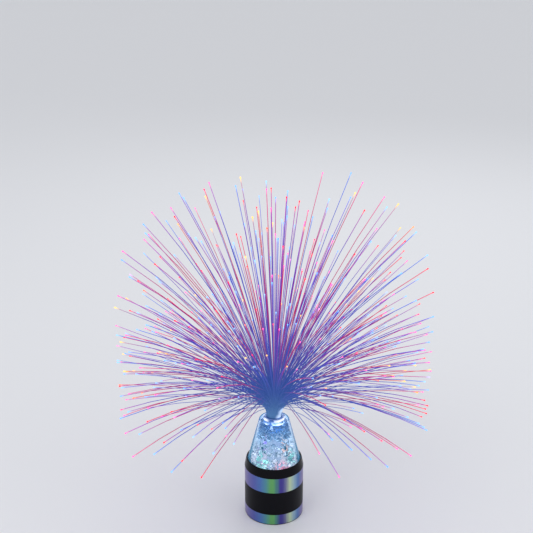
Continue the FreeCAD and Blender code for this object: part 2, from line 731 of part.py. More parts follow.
# The retaining ring snaps into the shell and traps the dome's foot under its lip.
def make_retaining_ring():
    bead_low = LEDGE_TOP + S.bead_rise
    bead_high = bead_low + S.bead_height
    bead = RING_SKIRT_OUTSIDE + S.bead_reach
    lip = S.dome_radius + S.easy_gap
    lip_bottom = RING_TOP - S.ring_lip_thickness
    bottom = LEDGE_TOP + S.easy_gap * 2
    shoulder = SHELL_TOP + S.ring_band_height
    body = turned("retaining_ring", [
        (RING_SKIRT_INSIDE, bottom), (RING_SKIRT_OUTSIDE, bottom), (RING_SKIRT_OUTSIDE, bead_low),
        (bead, bead_low), (bead, bead_high), (RING_SKIRT_OUTSIDE, bead_high), (RING_SKIRT_OUTSIDE, SHELL_TOP),
        (S.base_radius, SHELL_TOP), (S.base_radius, shoulder), (S.ring_top_radius, RING_TOP), (lip, RING_TOP),
        (lip, lip_bottom), (RING_SKIRT_INSIDE, lip_bottom)])
    round_edges(body, "ring_top_edge", S.ring_lip_thickness / 2,
                lambda edge: is_circle(edge, S.ring_top_radius, RING_TOP))
    return body


# The ice dome: a clear tapering shell with a flange at its foot and a socket in its top.
def make_ice_dome():
    slope = (S.dome_radius - S.dome_top_radius) / (DOME_TOP - DOME_STEP)
    inner_top = DOME_TOP - S.dome_top_wall
    inner_top_radius = S.dome_top_radius + slope * S.dome_top_wall - S.dome_wall
    inner_foot = DOME_FOOT - S.dome_wall
    inner_knee = inner_top - (inner_foot - inner_top_radius) / slope
    body = turned("ice_dome", [
        (inner_foot, FLOOR_TOP), (DOME_FOOT, FLOOR_TOP), (DOME_FOOT, DOME_STEP), (S.dome_radius, DOME_STEP),
        (S.dome_top_radius, DOME_TOP), (SOCKET_BORE, DOME_TOP), (SOCKET_BORE, SOCKET_BOTTOM),
        (SOCKET_OUTSIDE, SOCKET_BOTTOM), (SOCKET_OUTSIDE, inner_top), (inner_top_radius, inner_top),
        (inner_foot, inner_knee)])
    round_edges(body, "dome_shoulder", S.dome_edge_round, lambda edge: is_circle(edge, S.dome_top_radius, DOME_TOP))
    return body


# The plug collar sits in the dome's socket, and the ferrule that binds the fibres turns in the collar.
def make_plug_collar():
    flange = COLLAR_OUTSIDE + S.collar_flange
    bottom = DOME_TOP - S.collar_length
    return turned("plug_collar", [
        (COLLAR_BORE, bottom), (COLLAR_OUTSIDE, bottom), (COLLAR_OUTSIDE, DOME_TOP), (flange, DOME_TOP),
        (flange, COLLAR_TOP), (COLLAR_BORE, COLLAR_TOP)])


def make_ferrule():
    flange = FERRULE_OUTSIDE + S.ferrule_flange
    seat = COLLAR_TOP + S.easy_gap
    body = turned("fibre_ferrule", [
        (FERRULE_BORE, FERRULE_BOTTOM), (FERRULE_OUTSIDE, FERRULE_BOTTOM), (FERRULE_OUTSIDE, seat),
        (flange, seat), (flange, MOUTH), (FERRULE_BORE, MOUTH)])
    round_edges(body, "ferrule_edge", S.ferrule_flange_height / 3, lambda edge: is_circle(edge, flange, MOUTH))
    return body


# The switch: a slider with a ribbed knob through the slot, in front of a body held between two rails.
def make_switch():
    slider = part_body("switch_slider")
    rest = S.switch_height + S.switch_travel / 2
    half_plate = S.slider_length / 2
    half_knob = S.knob_length / 2
    knob_half_width = S.slot_width / 2 - S.door_gap
    knob_end = S.base_radius + S.knob_reach
    block(slider, "slider_plate", (-(S.slider_width / 2), SLIDER_INSIDE, S.switch_height - half_plate),
          (S.slider_width / 2, SLIDER_OUTSIDE, S.switch_height + half_plate))
    block(slider, "slider_knob", (-knob_half_width, SLIDER_OUTSIDE - S.slider_thickness / 2, rest - half_knob),
          (knob_half_width, knob_end, rest + half_knob))
    ridge = S.knob_length / 9
    for index in range(4):
        low = rest - half_knob + ridge * (2 * index + 1)
        block(slider, f"knob_groove_{index + 1}", (-knob_half_width - 1, knob_end - ridge, low),
              (knob_half_width + 1, knob_end + 1, low + ridge), cut=True)
    body = part_body("switch_body")
    half = S.switch_body_length / 2
    block(body, "switch_case", (-(S.switch_body_width / 2), SWITCH_BACK, S.switch_height - half),
          (S.switch_body_width / 2, SWITCH_FACE, S.switch_height + half))


# Wires run up from the contacts inside the shell: straight runs joined by round bends.
def wire_path(points, radius):
    """Straight runs through the points with a tangent arc at each turn."""
    vectors = [FreeCAD.Vector(*[number(value) for value in point]) for point in points]
    edges = []
    start = vectors[0]
    for before, corner, after in zip(vectors, vectors[1:], vectors[2:]):
        back = (before - corner).normalize()
        ahead = (after - corner).normalize()
        half = back.getAngle(ahead) / 2
        reach = radius / math.tan(half)
        middle = (back + ahead).normalize() * (radius / math.sin(half) - radius)
        arc_start = corner + back * reach
        arc_end = corner + ahead * reach
        edges.append(Part.LineSegment(start, arc_start).toShape())
        edges.append(Part.Arc(arc_start, corner + middle, arc_end).toShape())
        start = arc_end
    edges.append(Part.LineSegment(start, vectors[-1]).toShape())
    return Part.Wire(edges)


def tube(path, radius):
    """A round solid along a path."""
    start = path.Edges[0].Vertexes[0].Point
    heading = path.Edges[0].tangentAt(path.Edges[0].FirstParameter)
    section = Part.Wire([Part.Circle(start, heading, radius).toShape()])
    return path.makePipeShell([section], True, False)


def add_shape(label, shape):
    """A sub-part from a ready shape."""
    feature = document.addObject("Part::Feature", label)
    feature.Label = label
    feature.Shape = shape
    feature.Placement = FreeCAD.Placement()
    parts[label] = feature


def make_wires():
    radius = S.wire_diameter / 2
    bend = S.wire_bend.number
    tail_top = BAY_TOP + S.tail_height
    tail_x = CONTACT_FACE + S.contact_thickness / 2
    near_top = tail_top + S.wire_rise
    inner_x = tail_x - S.wire_inset
    under_board = BOARD_BOTTOM
    switch_low = S.switch_height - S.terminal_low
    switch_high = S.switch_height + S.terminal_high
    inner_y = SWITCH_BACK
    slack_y = inner_y - S.wire_slack
    side_y = CELL_PITCH + S.terminal_spacing
    side_x = S.terminal_spacing
    routes = {
        "positive_lead": [(tail_x, -CELL_PITCH, tail_top), (tail_x, -CELL_PITCH, near_top),
                          (inner_x, -CELL_PITCH, under_board - S.wire_rise), (inner_x, -CELL_PITCH, under_board)],
        "negative_lead": [(-tail_x, CELL_PITCH, tail_top), (-tail_x, CELL_PITCH, near_top - S.wire_drop),
                          (-side_x, side_y, switch_low), (-side_x, inner_y, switch_low)],
        "switch_lead": [(side_x, inner_y, switch_high), (side_x, slack_y, switch_high),
                        (side_x, slack_y, under_board)],
    }
    for label, points in routes.items():
        add_shape(label, tube(wire_path(points, bend), radius.number))


# The ice chips: faceted pieces in rings, one ring against the dome and one against the light guide, in
# layers that shrink to fit under the dome's shoulder.
GOLDEN_TURN = 137.50776405


def spread(index, step):
    """A number from 0 to 1 that wanders evenly with its index."""
    return (index * step) % 1.0


def dome_inside(height):
    """The dome's inner radius at a height."""
    slope = (S.dome_radius - S.dome_top_radius).number / (DOME_TOP - DOME_STEP).number
    taper = S.dome_top_radius.number + slope * (DOME_TOP.number - height) - S.dome_wall.number
    return min(taper, (DOME_FOOT - S.dome_wall).number)


def core_outside(height):
    """The radius of the light guide, or of the socket above it, at a height."""
    if height > SOCKET_BOTTOM.number - 1:
        return SOCKET_OUTSIDE.number
    return S.guide_top_radius.number


def chip_corners(size, index):
    """A six-sided chip's corners about its middle, turned and tipped by its index."""
    lift = size * (0.62 + 0.16 * spread(index, 0.381966))
    rings = ((-lift, 0.42 + 0.2 * spread(index, 0.7548777)), (0.0, 0.98), (lift, 0.4 + 0.2 * spread(index, 0.5698403)))
    corners = []
    for height, share in rings:
        for side in range(6):
            angle = math.radians(60 * side)
            reach = math.sqrt(max(size * size - height * height, 0)) if height == 0.0 else size * share
            corners.append(FreeCAD.Vector(reach * math.cos(angle), reach * math.sin(angle), height))
    tip = FreeCAD.Rotation(FreeCAD.Vector(math.cos(index), math.sin(index), 0), 10 + 25 * spread(index, 0.618034))
    spin = FreeCAD.Rotation(FreeCAD.Vector(0, 0, 1), GOLDEN_TURN * index)
    return [spin.multVec(tip.multVec(corner)) for corner in corners]


def chip_solid(corners):
    """The chip between its three rings of corners."""
    rings = [corners[0:6], corners[6:12], corners[12:18]]
    faces = [Part.Face(Part.makePolygon(rings[0] + rings[0][:1])), Part.Face(Part.makePolygon(rings[2] + rings[2][:1]))]
    for low, high in ((rings[0], rings[1]), (rings[1], rings[2])):
        for side in range(6):
            after = (side + 1) % 6
            faces.append(Part.Face(Part.makePolygon([low[side], low[after], high[after], high[side], low[side]])))
    solid = Part.makeSolid(Part.makeShell(faces))
    solid.fix(0.001, 0.001, 0.001)
    return solid


def seat_chip(corners, circle, angle, height, size, outward):
    """Moves a chip along its radius until it lies just clear of the dome, or of the core."""
    gap = S.chip_gap.number
    offsets = [(corner.x, corner.y, corner.z) for corner in corners]
    direction = FreeCAD.Vector(math.cos(math.radians(angle)), math.sin(math.radians(angle)), 0)
    step = 0.02
    for _ in range(int(size / step)):
        trial = circle + (step if outward else -step)
        radii = [math.hypot(trial * direction.x + x, trial * direction.y + y) for x, y, _ in offsets]
        if outward:
            clear = all(radius < dome_inside(height + z) - gap for radius, (_, _, z) in zip(radii, offsets))
        else:
            inner = [core_outside(height + z) for _, _, z in offsets]
            clear = all(radius > limit + gap for radius, limit in zip(radii, inner))
        if not clear:
            break
        circle = trial
    return FreeCAD.Vector(circle * direction.x, circle * direction.y, height)


def chip_ring(circle, height, size, first, outward):
    """One ring of chips."""
    count = int(math.pi / math.asin(min(1.0, (size + S.chip_gap.number / 2) / circle)))
    chips = []
    for place_number in range(count):
        index = first + place_number
        corners = chip_corners(size, index)
        tallest = max(abs(corner.z) for corner in corners)
        limit = size * 0.93
        if tallest > limit:
            corners = [corner * (limit / tallest) for corner in corners]
        angle = 360.0 * (place_number + spread(first, 0.618034)) / count
        seat = seat_chip(corners, circle, angle, height, size, outward)
        chips.append(chip_solid([corner + seat for corner in corners]))
    return chips


def make_ice_chips():
    gap = S.chip_gap.number
    bottom = FLOOR_TOP.number + gap
    ceiling = (DOME_TOP - S.dome_top_wall).number - gap
    chips = []
    while True:
        size = S.chip_radius.number
        for _ in range(6):
            top = bottom + 2 * 0.93 * size
            room = dome_inside(top) - core_outside(top) - 2 * gap
            size = min(size, room / 2)
        if size < S.chip_radius.number / 3 or bottom + 2 * 0.93 * size > ceiling:
            break
        height = bottom + 0.93 * size
        outer = dome_inside(top) - gap - size
        chips += chip_ring(outer, height, size, len(chips), True)
        inner = core_outside(top) + gap + size * 1.08
        if outer - inner > 2 * size:
            chips += chip_ring(inner, height, size, len(chips), False)
        bottom = top + gap
    add_shape("ice_chips", Part.makeCompound(chips))
    return len(chips)


# The fibres: each stands straight in the ferrule, bends outwards just above the mouth, more the nearer it is
# to the bundle's edge, and runs on in a long droop. They part at the front, so that none hangs over the dome.
FRONT_ANGLE = 270.0
FRONT_PARTED = 9.0
FRONT_FULL = 19.0
FRONT_SHARE = 0.5
BEND_POWER = 0.74
SHORTEST_SHARE = 0.5
SHORTENING = 0.16
SHORT_WITHIN = 60.0


def front_share(turn):
    """How much of its bend a fibre keeps: half of it where it would hang over the dome's front."""
    away = abs((turn - FRONT_ANGLE + 180) % 360 - 180)
    ramp = min(1.0, max(0.0, (away - FRONT_PARTED) / (FRONT_FULL - FRONT_PARTED)))
    return FRONT_SHARE + (1 - FRONT_SHARE) * ramp * ramp * (3 - 2 * ramp)


def fibre_plan(index):
    """A fibre's place in the bundle, the way it leans, its bend and the length of its long run."""
    share = (index + 0.5) / DRIVING["fibre_count"]
    turn = (GOLDEN_TURN * index) % 360
    bend = S.widest_bend.number * share ** BEND_POWER * (1 + 0.06 * (spread(index, 0.5698402910) - 0.5))
    bend = math.radians(bend * front_share(turn))
    shortest = SHORTEST_SHARE + 0.22 * (1 - share)
    length = S.fibre_length.number * (shortest + (1 - shortest) * math.sqrt(spread(index, 0.7548776662)))
    return S.bundle_radius.number * math.sqrt(share), turn, bend, length - S.bend_length.number


def droop_point(start, bend, curve, distance):
    """The point (radius, height) a distance along the long run from its start."""
    turn = curve * distance
    if turn < 1e-5:
        return (start[0] + distance * math.sin(bend), start[1] + distance * math.cos(bend))
    radius = 1 / curve
    return (start[0] + radius * (math.cos(bend) - math.cos(bend + turn)),
            start[1] + radius * (math.sin(bend + turn) - math.sin(bend)))


def fibre_run(index, start, bend, curve, turn, length):
    """The long run's length, cut back to the spray's round edge and its uneven top."""
    away = abs((turn - FRONT_ANGLE + 90) % 180 - 90)
    reach = S.spray_radius.number * (1 - SHORTENING * max(0.0, 1 - away / SHORT_WITHIN))
    top = S.spray_top.number - S.uneven_top.number * spread(index, 0.37)
    while length > S.shortest_run.number:
        radius, height = droop_point(start, bend, curve, length)
        if radius <= reach and height <= top:
            break
        length -= S.trim_step.number
    return length


def fibre_path(index):
    """One fibre's centre line, as edges in the upright plane that it leans in."""
    offset, turn, bend, length = fibre_plan(index)
    bend_radius = S.bend_length.number / bend
    points = [(offset, FERRULE_BOTTOM.number + S.easy_gap.number), (offset, MOUTH.number + S.easy_gap.number)]
    for share in (0.5, 1.0):
        points.append((offset + bend_radius * (1 - math.cos(bend * share)),
                       points[1][1] + bend_radius * math.sin(bend * share)))
    curve = math.radians(S.droop.number) * math.sin(bend) / S.droop_length.number
    length = fibre_run(index, points[-1], bend, curve, turn, length)
    for share in (0.5, 1.0):
        points.append(droop_point(points[3], bend, curve, length * share))
    cosine = math.cos(math.radians(turn))
    sine = math.sin(math.radians(turn))
    spots = [FreeCAD.Vector(radius * cosine, radius * sine, height) for radius, height in points]
    return Part.Wire([Part.LineSegment(spots[0], spots[1]).toShape(), Part.Arc(*spots[1:4]).toShape(),
                      Part.Arc(*spots[3:6]).toShape()])


def make_fibres():
    count = DRIVING["fibre_count"]
    groups = {"inner_fibres": (0, count // 3), "middle_fibres": (count // 3, 2 * count // 3),
              "outer_fibres": (2 * count // 3, count)}
    for label, (first, last) in groups.items():
        strands = [tube(fibre_path(index), S.fibre_diameter.number / 2) for index in range(first, last)]
        add_shape(label, Part.makeCompound(strands))


def write_parts():
    """Checks every object and every sub-part, then writes one file for each."""
    document.recompute()
    for item in document.Objects:
        if "Invalid" in item.State or "Error" in item.State:
            raise RuntimeError(f"{item.Label} failed: {item.State}")
    for label, part in parts.items():
        if part.Shape.isNull() or not part.Shape.isValid() or not part.Shape.Solids:
            raise RuntimeError(f"{label} has no sound shape")
    os.makedirs("parts", exist_ok=True)
    for label, part in parts.items():
        part.Shape.exportStep(f"parts/{label}.step")
        box = part.Shape.BoundBox
        print(f"{label}: {len(part.Shape.Solids)} solids, {part.Shape.Volume:.1f} mm3,"
              f" z {box.ZMin:.2f} to {box.ZMax:.2f}")


make_base_shell()
make_foil_band("lower_foil_band", SHELL_BOTTOM, LOWER_FOIL_TOP)
make_foil_band("upper_foil_band", BELT_TOP, SHELL_TOP)
make_foot_ring()
make_base_plate()
make_screws()
make_cells()
make_contacts()
make_battery_door()
make_circuit_board()
for led_name, led_angle, led_circle in led_places():
    make_led(led_name, led_angle, led_circle)
make_board_parts()
make_chamber_floor()
make_light_guide()
make_retaining_ring()
make_ice_dome()
make_plug_collar()
make_ferrule()
make_switch()
make_wires()
print("ice chips:", make_ice_chips())
make_fibres()
write_parts()
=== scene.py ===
# %% [markdown]
# # A fibre optic lamp with a glowing ice dome
# The lamp has three parts to its look: a black base wrapped in two bands of rainbow foil, a clear tapering
# dome full of lit ice, and a fountain of fibres whose ends shine. The solid parts come in ready made, at
# their real size, and this lesson gives them their finishes and models what light plays in.

import math
import random

import bmesh
import bpy
from mathutils import Matrix, Vector


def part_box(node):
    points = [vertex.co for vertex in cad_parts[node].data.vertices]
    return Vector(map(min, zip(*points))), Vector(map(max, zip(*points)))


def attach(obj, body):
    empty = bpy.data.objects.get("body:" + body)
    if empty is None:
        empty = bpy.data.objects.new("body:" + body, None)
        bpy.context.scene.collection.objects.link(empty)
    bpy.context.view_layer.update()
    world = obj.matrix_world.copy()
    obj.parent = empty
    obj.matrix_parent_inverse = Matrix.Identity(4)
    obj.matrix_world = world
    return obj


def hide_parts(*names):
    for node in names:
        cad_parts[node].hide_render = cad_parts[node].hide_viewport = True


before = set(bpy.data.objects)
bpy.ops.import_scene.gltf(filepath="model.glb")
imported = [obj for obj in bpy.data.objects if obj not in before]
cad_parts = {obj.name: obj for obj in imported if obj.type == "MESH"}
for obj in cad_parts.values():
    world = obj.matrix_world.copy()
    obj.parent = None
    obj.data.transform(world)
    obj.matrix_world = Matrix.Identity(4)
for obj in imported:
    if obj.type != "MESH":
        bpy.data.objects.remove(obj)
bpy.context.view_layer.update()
MM = 0.001
print("solid parts:", len(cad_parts))

# %% [markdown]
# ## The camera
# The lamp is seen a little from above. Its axis, the top of its base and the width of that base are known
# places in the picture, so the camera is put where those three come out right, and nothing is guessed by eye.

# %% Place the camera
PICTURE_SIDE = 533
LENS = 70.0
SENSOR = 36.0
PITCH = math.radians(20.0)
MM_PER_PIXEL = 1.094
AXIS_COLUMN = 274.0
BASE_TOP_ROW = 463.8
BASE_TOP = Vector((0, 0, 57 * MM))


def add_camera():
    """A camera that shows the base's top at its known place, at its known width."""
    focal = PICTURE_SIDE * LENS / SENSOR
    distance = MM_PER_PIXEL * focal * MM
    right = Vector((1, 0, 0))
    forward = Vector((0, math.cos(PITCH), -math.sin(PITCH)))
    up = Vector((0, math.sin(PITCH), math.cos(PITCH)))
    across = (AXIS_COLUMN - PICTURE_SIDE / 2) / focal * distance
    above = (PICTURE_SIDE / 2 - BASE_TOP_ROW) / focal * distance
    data = bpy.data.cameras.new("camera")
    data.lens = LENS
    data.sensor_width = SENSOR
    data.clip_end = 20
    camera = bpy.data.objects.new("camera", data)
    camera.location = BASE_TOP - forward * distance - right * across - up * above
    camera.rotation_euler = (math.pi / 2 - PITCH, 0, 0)
    bpy.context.collection.objects.link(camera)
    bpy.context.scene.camera = camera
    return camera


camera = add_camera()
print("camera at", [round(value, 3) for value in camera.location])

# %% [markdown]
# ## The studio
# A pale floor and soft light from above show every colour about as it is. The lamp's own light is only as
# strong as it needs to be to look lit in a bright room.

# %% Floor, sky and soft lights
FLOOR_RADIUS = 16.0
FLOOR_COLOUR = (0.80, 0.81, 0.84, 1)
BACKDROP_COLOUR = (0.62, 0.63, 0.67, 1)
SKY_COLOUR = (0.97, 0.98, 1.0, 1)
SKY_STRENGTH = 0.78


def add_floor():
    """A wide pale floor that runs out of sight."""
    plate = bmesh.new()
    bmesh.ops.create_circle(plate, cap_ends=True, segments=96, radius=FLOOR_RADIUS)
    mesh = bpy.data.meshes.new("floor")
    plate.to_mesh(mesh)
    plate.free()
    floor = bpy.data.objects.new("floor", mesh)
    bpy.context.collection.objects.link(floor)
    material = bpy.data.materials.new("studio_floor")
    material.use_nodes = True
    shader = material.node_tree.nodes["Principled BSDF"]
    shader.inputs["Base Color"].default_value = FLOOR_COLOUR
    shader.inputs["Roughness"].default_value = 0.75
    mesh.materials.append(material)


def add_soft_light(name, spot, aim, side, watts):
    """One square soft light that looks at a point."""
    data = bpy.data.lights.new(name, "AREA")
    data.size = side
    data.energy = watts
    light = bpy.data.objects.new(name, data)
    light.location = spot
    light.rotation_euler = (Vector(aim) - Vector(spot)).to_track_quat("-Z", "Y").to_euler()
    bpy.context.collection.objects.link(light)


def set_sky(strength):
    """Even light from all round. The camera, gloss and clear plastic see the far floor's pale grey."""
    world = bpy.data.worlds.new("sky")
    bpy.context.scene.world = world
    world.use_nodes = True
    tree = world.node_tree
    light = tree.nodes["Background"]
    light.inputs["Color"].default_value = SKY_COLOUR
    light.inputs["Strength"].default_value = strength
    backdrop = tree.nodes.new("ShaderNodeBackground")
    backdrop.inputs["Color"].default_value = BACKDROP_COLOUR
    backdrop.inputs["Strength"].default_value = 1.0
    path = tree.nodes.new("ShaderNodeLightPath")
    mix = tree.nodes.new("ShaderNodeMixShader")
    seen = path.outputs["Is Camera Ray"]
    for kind in ("Is Glossy Ray", "Is Transmission Ray"):
        either = tree.nodes.new("ShaderNodeMath")
        either.operation = "MAXIMUM"
        tree.links.new(seen, either.inputs[0])
        tree.links.new(path.outputs[kind], either.inputs[1])
        seen = either.outputs["Value"]
    tree.links.new(seen, mix.inputs["Fac"])
    tree.links.new(light.outputs["Background"], mix.inputs[1])
    tree.links.new(backdrop.outputs["Background"], mix.inputs[2])
    tree.links.new(mix.outputs["Shader"], tree.nodes["World Output"].inputs["Surface"])


add_floor()
set_sky(SKY_STRENGTH)
add_soft_light("key_light", (-0.9, -1.1, 1.5), (0, 0, 0.12), 0.9, 5)
add_soft_light("fill_light", (1.3, -0.7, 0.9), (0, 0, 0.12), 1.0, 2)
add_soft_light("back_light", (0.3, 1.3, 1.2), (0, 0, 0.2), 0.8, 3)
bpy.context.scene.view_settings.view_transform = "Standard"

# %% [markdown]
# ## How a finish is made
# Every finish is a small graph of nodes that ends in one shader. Patterns are read from the piece's own
# place in space, or from an attribute that the piece carries, so they stay put when the piece moves.

# %% Helpers for finishes


def new_finish(name):
    """A material with its node tree and its one shader."""
    material = bpy.data.materials.new(name)
    material.use_nodes = True
    shader = material.node_tree.nodes["Principled BSDF"]
    return material, material.node_tree, shader


def node(tree, kind, **inputs):
    """A node with some of its sockets set by name."""
    made = tree.nodes.new(kind)
    for socket, value in inputs.items():
        made.inputs[socket.replace("_", " ")].default_value = value
    return made


def ramp(tree, source, stops):
    """A colour ramp through (place, colour) stops, fed by a number."""
    made = tree.nodes.new("ShaderNodeValToRGB")
    elements = made.color_ramp.elements
    while len(elements) < len(stops):
        elements.new(0.5)
    for element, (place, colour) in zip(elements, stops):
        element.position = place
        element.color = (*colour, 1)
    tree.links.new(source, made.inputs["Fac"])
    return made.outputs["Color"]


def grey(value):
    """A plain number as a colour, for a ramp that gives numbers."""
    return (value, value, value)


def mathematics(tree, operation, first, second=None, third=None):
    """One step of arithmetic on sockets or plain numbers."""
    made = tree.nodes.new("ShaderNodeMath")
    made.operation = operation
    for socket, value in zip(made.inputs, (first, second, third)):
        if value is None:
            continue
        if isinstance(value, (int, float)):
            socket.default_value = value
        else:
            tree.links.new(value, socket)
    return made.outputs["Value"]


def place_of(tree):
    """The piece's own coordinates: whole, and split in x, y and z."""
    where = tree.nodes.new("ShaderNodeTexCoord").outputs["Object"]
    split = tree.nodes.new("ShaderNodeSeparateXYZ")
    tree.links.new(where, split.inputs["Vector"])
    return where, split.outputs


def noise(tree, where, scale, detail=2.0):
    """A soft random pattern from 0 to 1."""
    made = node(tree, "ShaderNodeTexNoise", Scale=scale, Detail=detail)
    tree.links.new(where, made.inputs["Vector"])
    return made.outputs["Fac"]


def blend(tree, factor, first, second):
    """One colour mixed into another."""
    made = tree.nodes.new("ShaderNodeMix")
    made.data_type = "RGBA"
    for socket, value in (("Factor", factor), ("A", first), ("B", second)):
        if isinstance(value, tuple):
            made.inputs[socket].default_value = (*value, 1)
        else:
            tree.links.new(value, made.inputs[socket])
    return made.outputs["Result"]


def bump(tree, shader, height, strength):
    """Presses a pattern into the surface, 0.2 mm deep at most."""
    made = node(tree, "ShaderNodeBump", Strength=strength, Distance=0.2 * MM)
    tree.links.new(height, made.inputs["Height"])
    tree.links.new(made.outputs["Normal"], shader.inputs["Normal"])


def dress(name, material):
    """Gives one ready-made solid its finish."""
    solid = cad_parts[name]
    solid.data.materials.clear()
    solid.data.materials.append(material)


# %% [markdown]
# ## Black moulded plastic
# The base, its belt and the ring under the dome are satin black plastic. A mould leaves it faintly grained,
# so the roughness wanders a little and the surface has a very fine bump.

# %% Black plastic
BLACK = (0.003, 0.003, 0.005, 1)


def black_plastic(name, roughness, grain):
    """Satin black plastic with a fine grain."""
    material, tree, shader = new_finish(name)
    where, _ = place_of(tree)
    speck = noise(tree, where, 2600.0)
    cloud = noise(tree, where, 60.0)
    shader.inputs["Base Color"].default_value = BLACK
    shader.inputs["Specular IOR Level"].default_value = 0.1
    rough = mathematics(tree, "MULTIPLY_ADD", cloud, 0.12, roughness - 0.06)
    tree.links.new(rough, shader.inputs["Roughness"])
    bump(tree, shader, speck, grain)
    return material


gloss_black = black_plastic("gloss_black", 0.22, 0.05)
satin_black = black_plastic("satin_black", 0.38, 0.18)
grained_black = black_plastic("grained_black", 0.55, 0.5)
dress("retaining_ring", gloss_black)
dress("base_shell", satin_black)
dress("base_plate", grained_black)
dress("battery_door", grained_black)
print("black plastic on base_shell, retaining_ring, base_plate and battery_door")

# %% [markdown]
# ## Rainbow foil
# The two bands are a film pressed with a grating. It splits light into upright stripes, which are painted
# into the foil's colour as a reflection that stays put: violet at the left, then blue, teal and green in the
# middle, a dark indigo line, a pale lime highlight, and blue and violet again. The painted stripes follow the
# angle round the lamp, and fine upright brushing breaks each one up.

# %% Foil
# The stripes' colours are painted reflection from the grating, and the pale lime band is a painted highlight.
VIOLET = (0.18, 0.15, 0.38)
BLUE_VIOLET = (0.11, 0.13, 0.42)
BLUE = (0.09, 0.20, 0.48)
TEAL = (0.10, 0.30, 0.36)
GREEN = (0.14, 0.42, 0.14)
SLATE = (0.09, 0.27, 0.22)
INDIGO = (0.07, 0.06, 0.30)
HAZE = (0.17, 0.18, 0.34)
LIME_HIGHLIGHT = (0.54, 0.68, 0.42)
SKY = (0.31, 0.47, 0.56)
FOIL_STOPS = [(-67, VIOLET), (-40, BLUE_VIOLET), (-23, BLUE), (-13, TEAL), (-4, GREEN), (2, GREEN),
              (7, SLATE), (15, INDIGO), (19, INDIGO), (26, HAZE), (35, LIME_HIGHLIGHT), (45, SKY), (57, BLUE),
              (70, VIOLET)]
BRUSHING = (900, 900, 25)


def foil_ramp_stops():
    """The painted reflection stripes at the front, and the same stripes again at the back."""
    stops = []
    for angle, colour in FOIL_STOPS:
        stops.append((0.5 + angle / 360, colour))
        stops.append((angle / 360 % 1.0, colour))
    return sorted(stops)


def rainbow_foil():
    """Stripes of painted reflection by the angle round the axis, under a gloss."""
    material, tree, shader = new_finish("rainbow_foil")
    where, axes = place_of(tree)
    back = mathematics(tree, "MULTIPLY", axes["Y"], -1.0)
    angle = mathematics(tree, "ARCTAN2", axes["X"], back)
    turn = mathematics(tree, "MULTIPLY_ADD", angle, 1 / (2 * math.pi), 0.5)
    squeeze = node(tree, "ShaderNodeMapping", Scale=BRUSHING)
    tree.links.new(where, squeeze.inputs["Vector"])
    brushing = noise(tree, squeeze.outputs["Vector"], 1.0, 3.0)
    wander = mathematics(tree, "MULTIPLY_ADD", brushing, 0.018, turn)
    colour = ramp(tree, wander, foil_ramp_stops())
    tree.links.new(colour, shader.inputs["Base Color"])
    shader.inputs["Metallic"].default_value = 0.7
    shader.inputs["Roughness"].default_value = 0.32
    shader.inputs["Specular IOR Level"].default_value = 0.2
    shader.inputs["Coat Weight"].default_value = 0.15
    shader.inputs["Coat Roughness"].default_value = 0.1
    bump(tree, shader, brushing, 0.12)
    return material


foil = rainbow_foil()
dress("lower_foil_band", foil)
dress("upper_foil_band", foil)
print("foil stripes round the lamp:", len(foil_ramp_stops()))

# %% [markdown]
# ## Rubber, metal and the parts inside
# These show only from below, through the switch's slot or through the dome, so their finishes are simple but
# true: matt rubber, nickel, green board and clear lens. One function makes all but the lens, from a colour, a
# gloss and a grain, and the lens has a clear finish of its own.

# %% Small finishes


def plain_finish(name, colour, roughness, metallic=0.0, grain=0.1, scale=1200.0):
    """One colour with a little variation in its tone and surface."""
    material, tree, shader = new_finish(name)
    where, _ = place_of(tree)
    cloud = noise(tree, where, scale)
    darker = tuple(value * 0.85 for value in colour)
    lighter = tuple(min(1.0, value * 1.12) for value in colour)
    tree.links.new(blend(tree, cloud, darker, lighter), shader.inputs["Base Color"])
    shader.inputs["Roughness"].default_value = roughness
    shader.inputs["Metallic"].default_value = metallic
    bump(tree, shader, cloud, grain)
    return material


def clear_finish(name, colour, glow, strength):
    """A clear plastic that is lit from inside, with a polish that wanders a little."""
    material, tree, shader = new_finish(name)
    where, _ = place_of(tree)
    rough = mathematics(tree, "MULTIPLY_ADD", noise(tree, where, 500.0), 0.16, 0.04)
    tree.links.new(rough, shader.inputs["Roughness"])
    shader.inputs["Base Color"].default_value = (*colour, 1)
    shader.inputs["Transmission Weight"].default_value = 0.5
    shader.inputs["Emission Color"].default_value = (*glow, 1)
    shader.inputs["Emission Strength"].default_value = strength
    return material


rubber = plain_finish("foot_rubber", grey(0.02), 0.85, grain=0.6)
steel = plain_finish("screw_steel", (0.55, 0.55, 0.57), 0.3, metallic=1.0)
nickel = plain_finish("nickel", (0.70, 0.68, 0.62), 0.25, metallic=1.0)
board_green = plain_finish("board_green", (0.02, 0.16, 0.06), 0.35)
black_case = plain_finish("black_case", grey(0.02), 0.5)
red_wire = plain_finish("red_wire", (0.5, 0.03, 0.03), 0.5)
black_wire = plain_finish("black_wire", grey(0.03), 0.5)
knob_grey = plain_finish("knob_grey", (0.55, 0.56, 0.58), 0.42)
milk_white = plain_finish("milk_white", (0.75, 0.80, 0.92), 0.5)
lens = clear_finish("lens", (0.85, 0.92, 1.0), (0.5, 0.7, 1.0), 2.0)
print("small finishes made, from", rubber.name, "to", lens.name)

# %% [markdown]
# ## Cells
# A small dry cell is a steel can in a printed sleeve. The sleeve is one colour ramp along the cell: steel at
# both ends, copper next to the plus end and deep blue for the rest. Neighbours lie opposite ways round.

# %% Cell sleeves and who wears what
CELL_SPAN = 45.0
STEEL_GREY = (0.55, 0.54, 0.52)
COPPER = (0.62, 0.27, 0.10)
DEEP_BLUE = (0.02, 0.05, 0.20)
SLEEVE_STOPS = [(0.030, STEEL_GREY), (0.036, DEEP_BLUE), (0.72, DEEP_BLUE), (0.73, COPPER), (0.955, COPPER),
                (0.962, STEEL_GREY)]


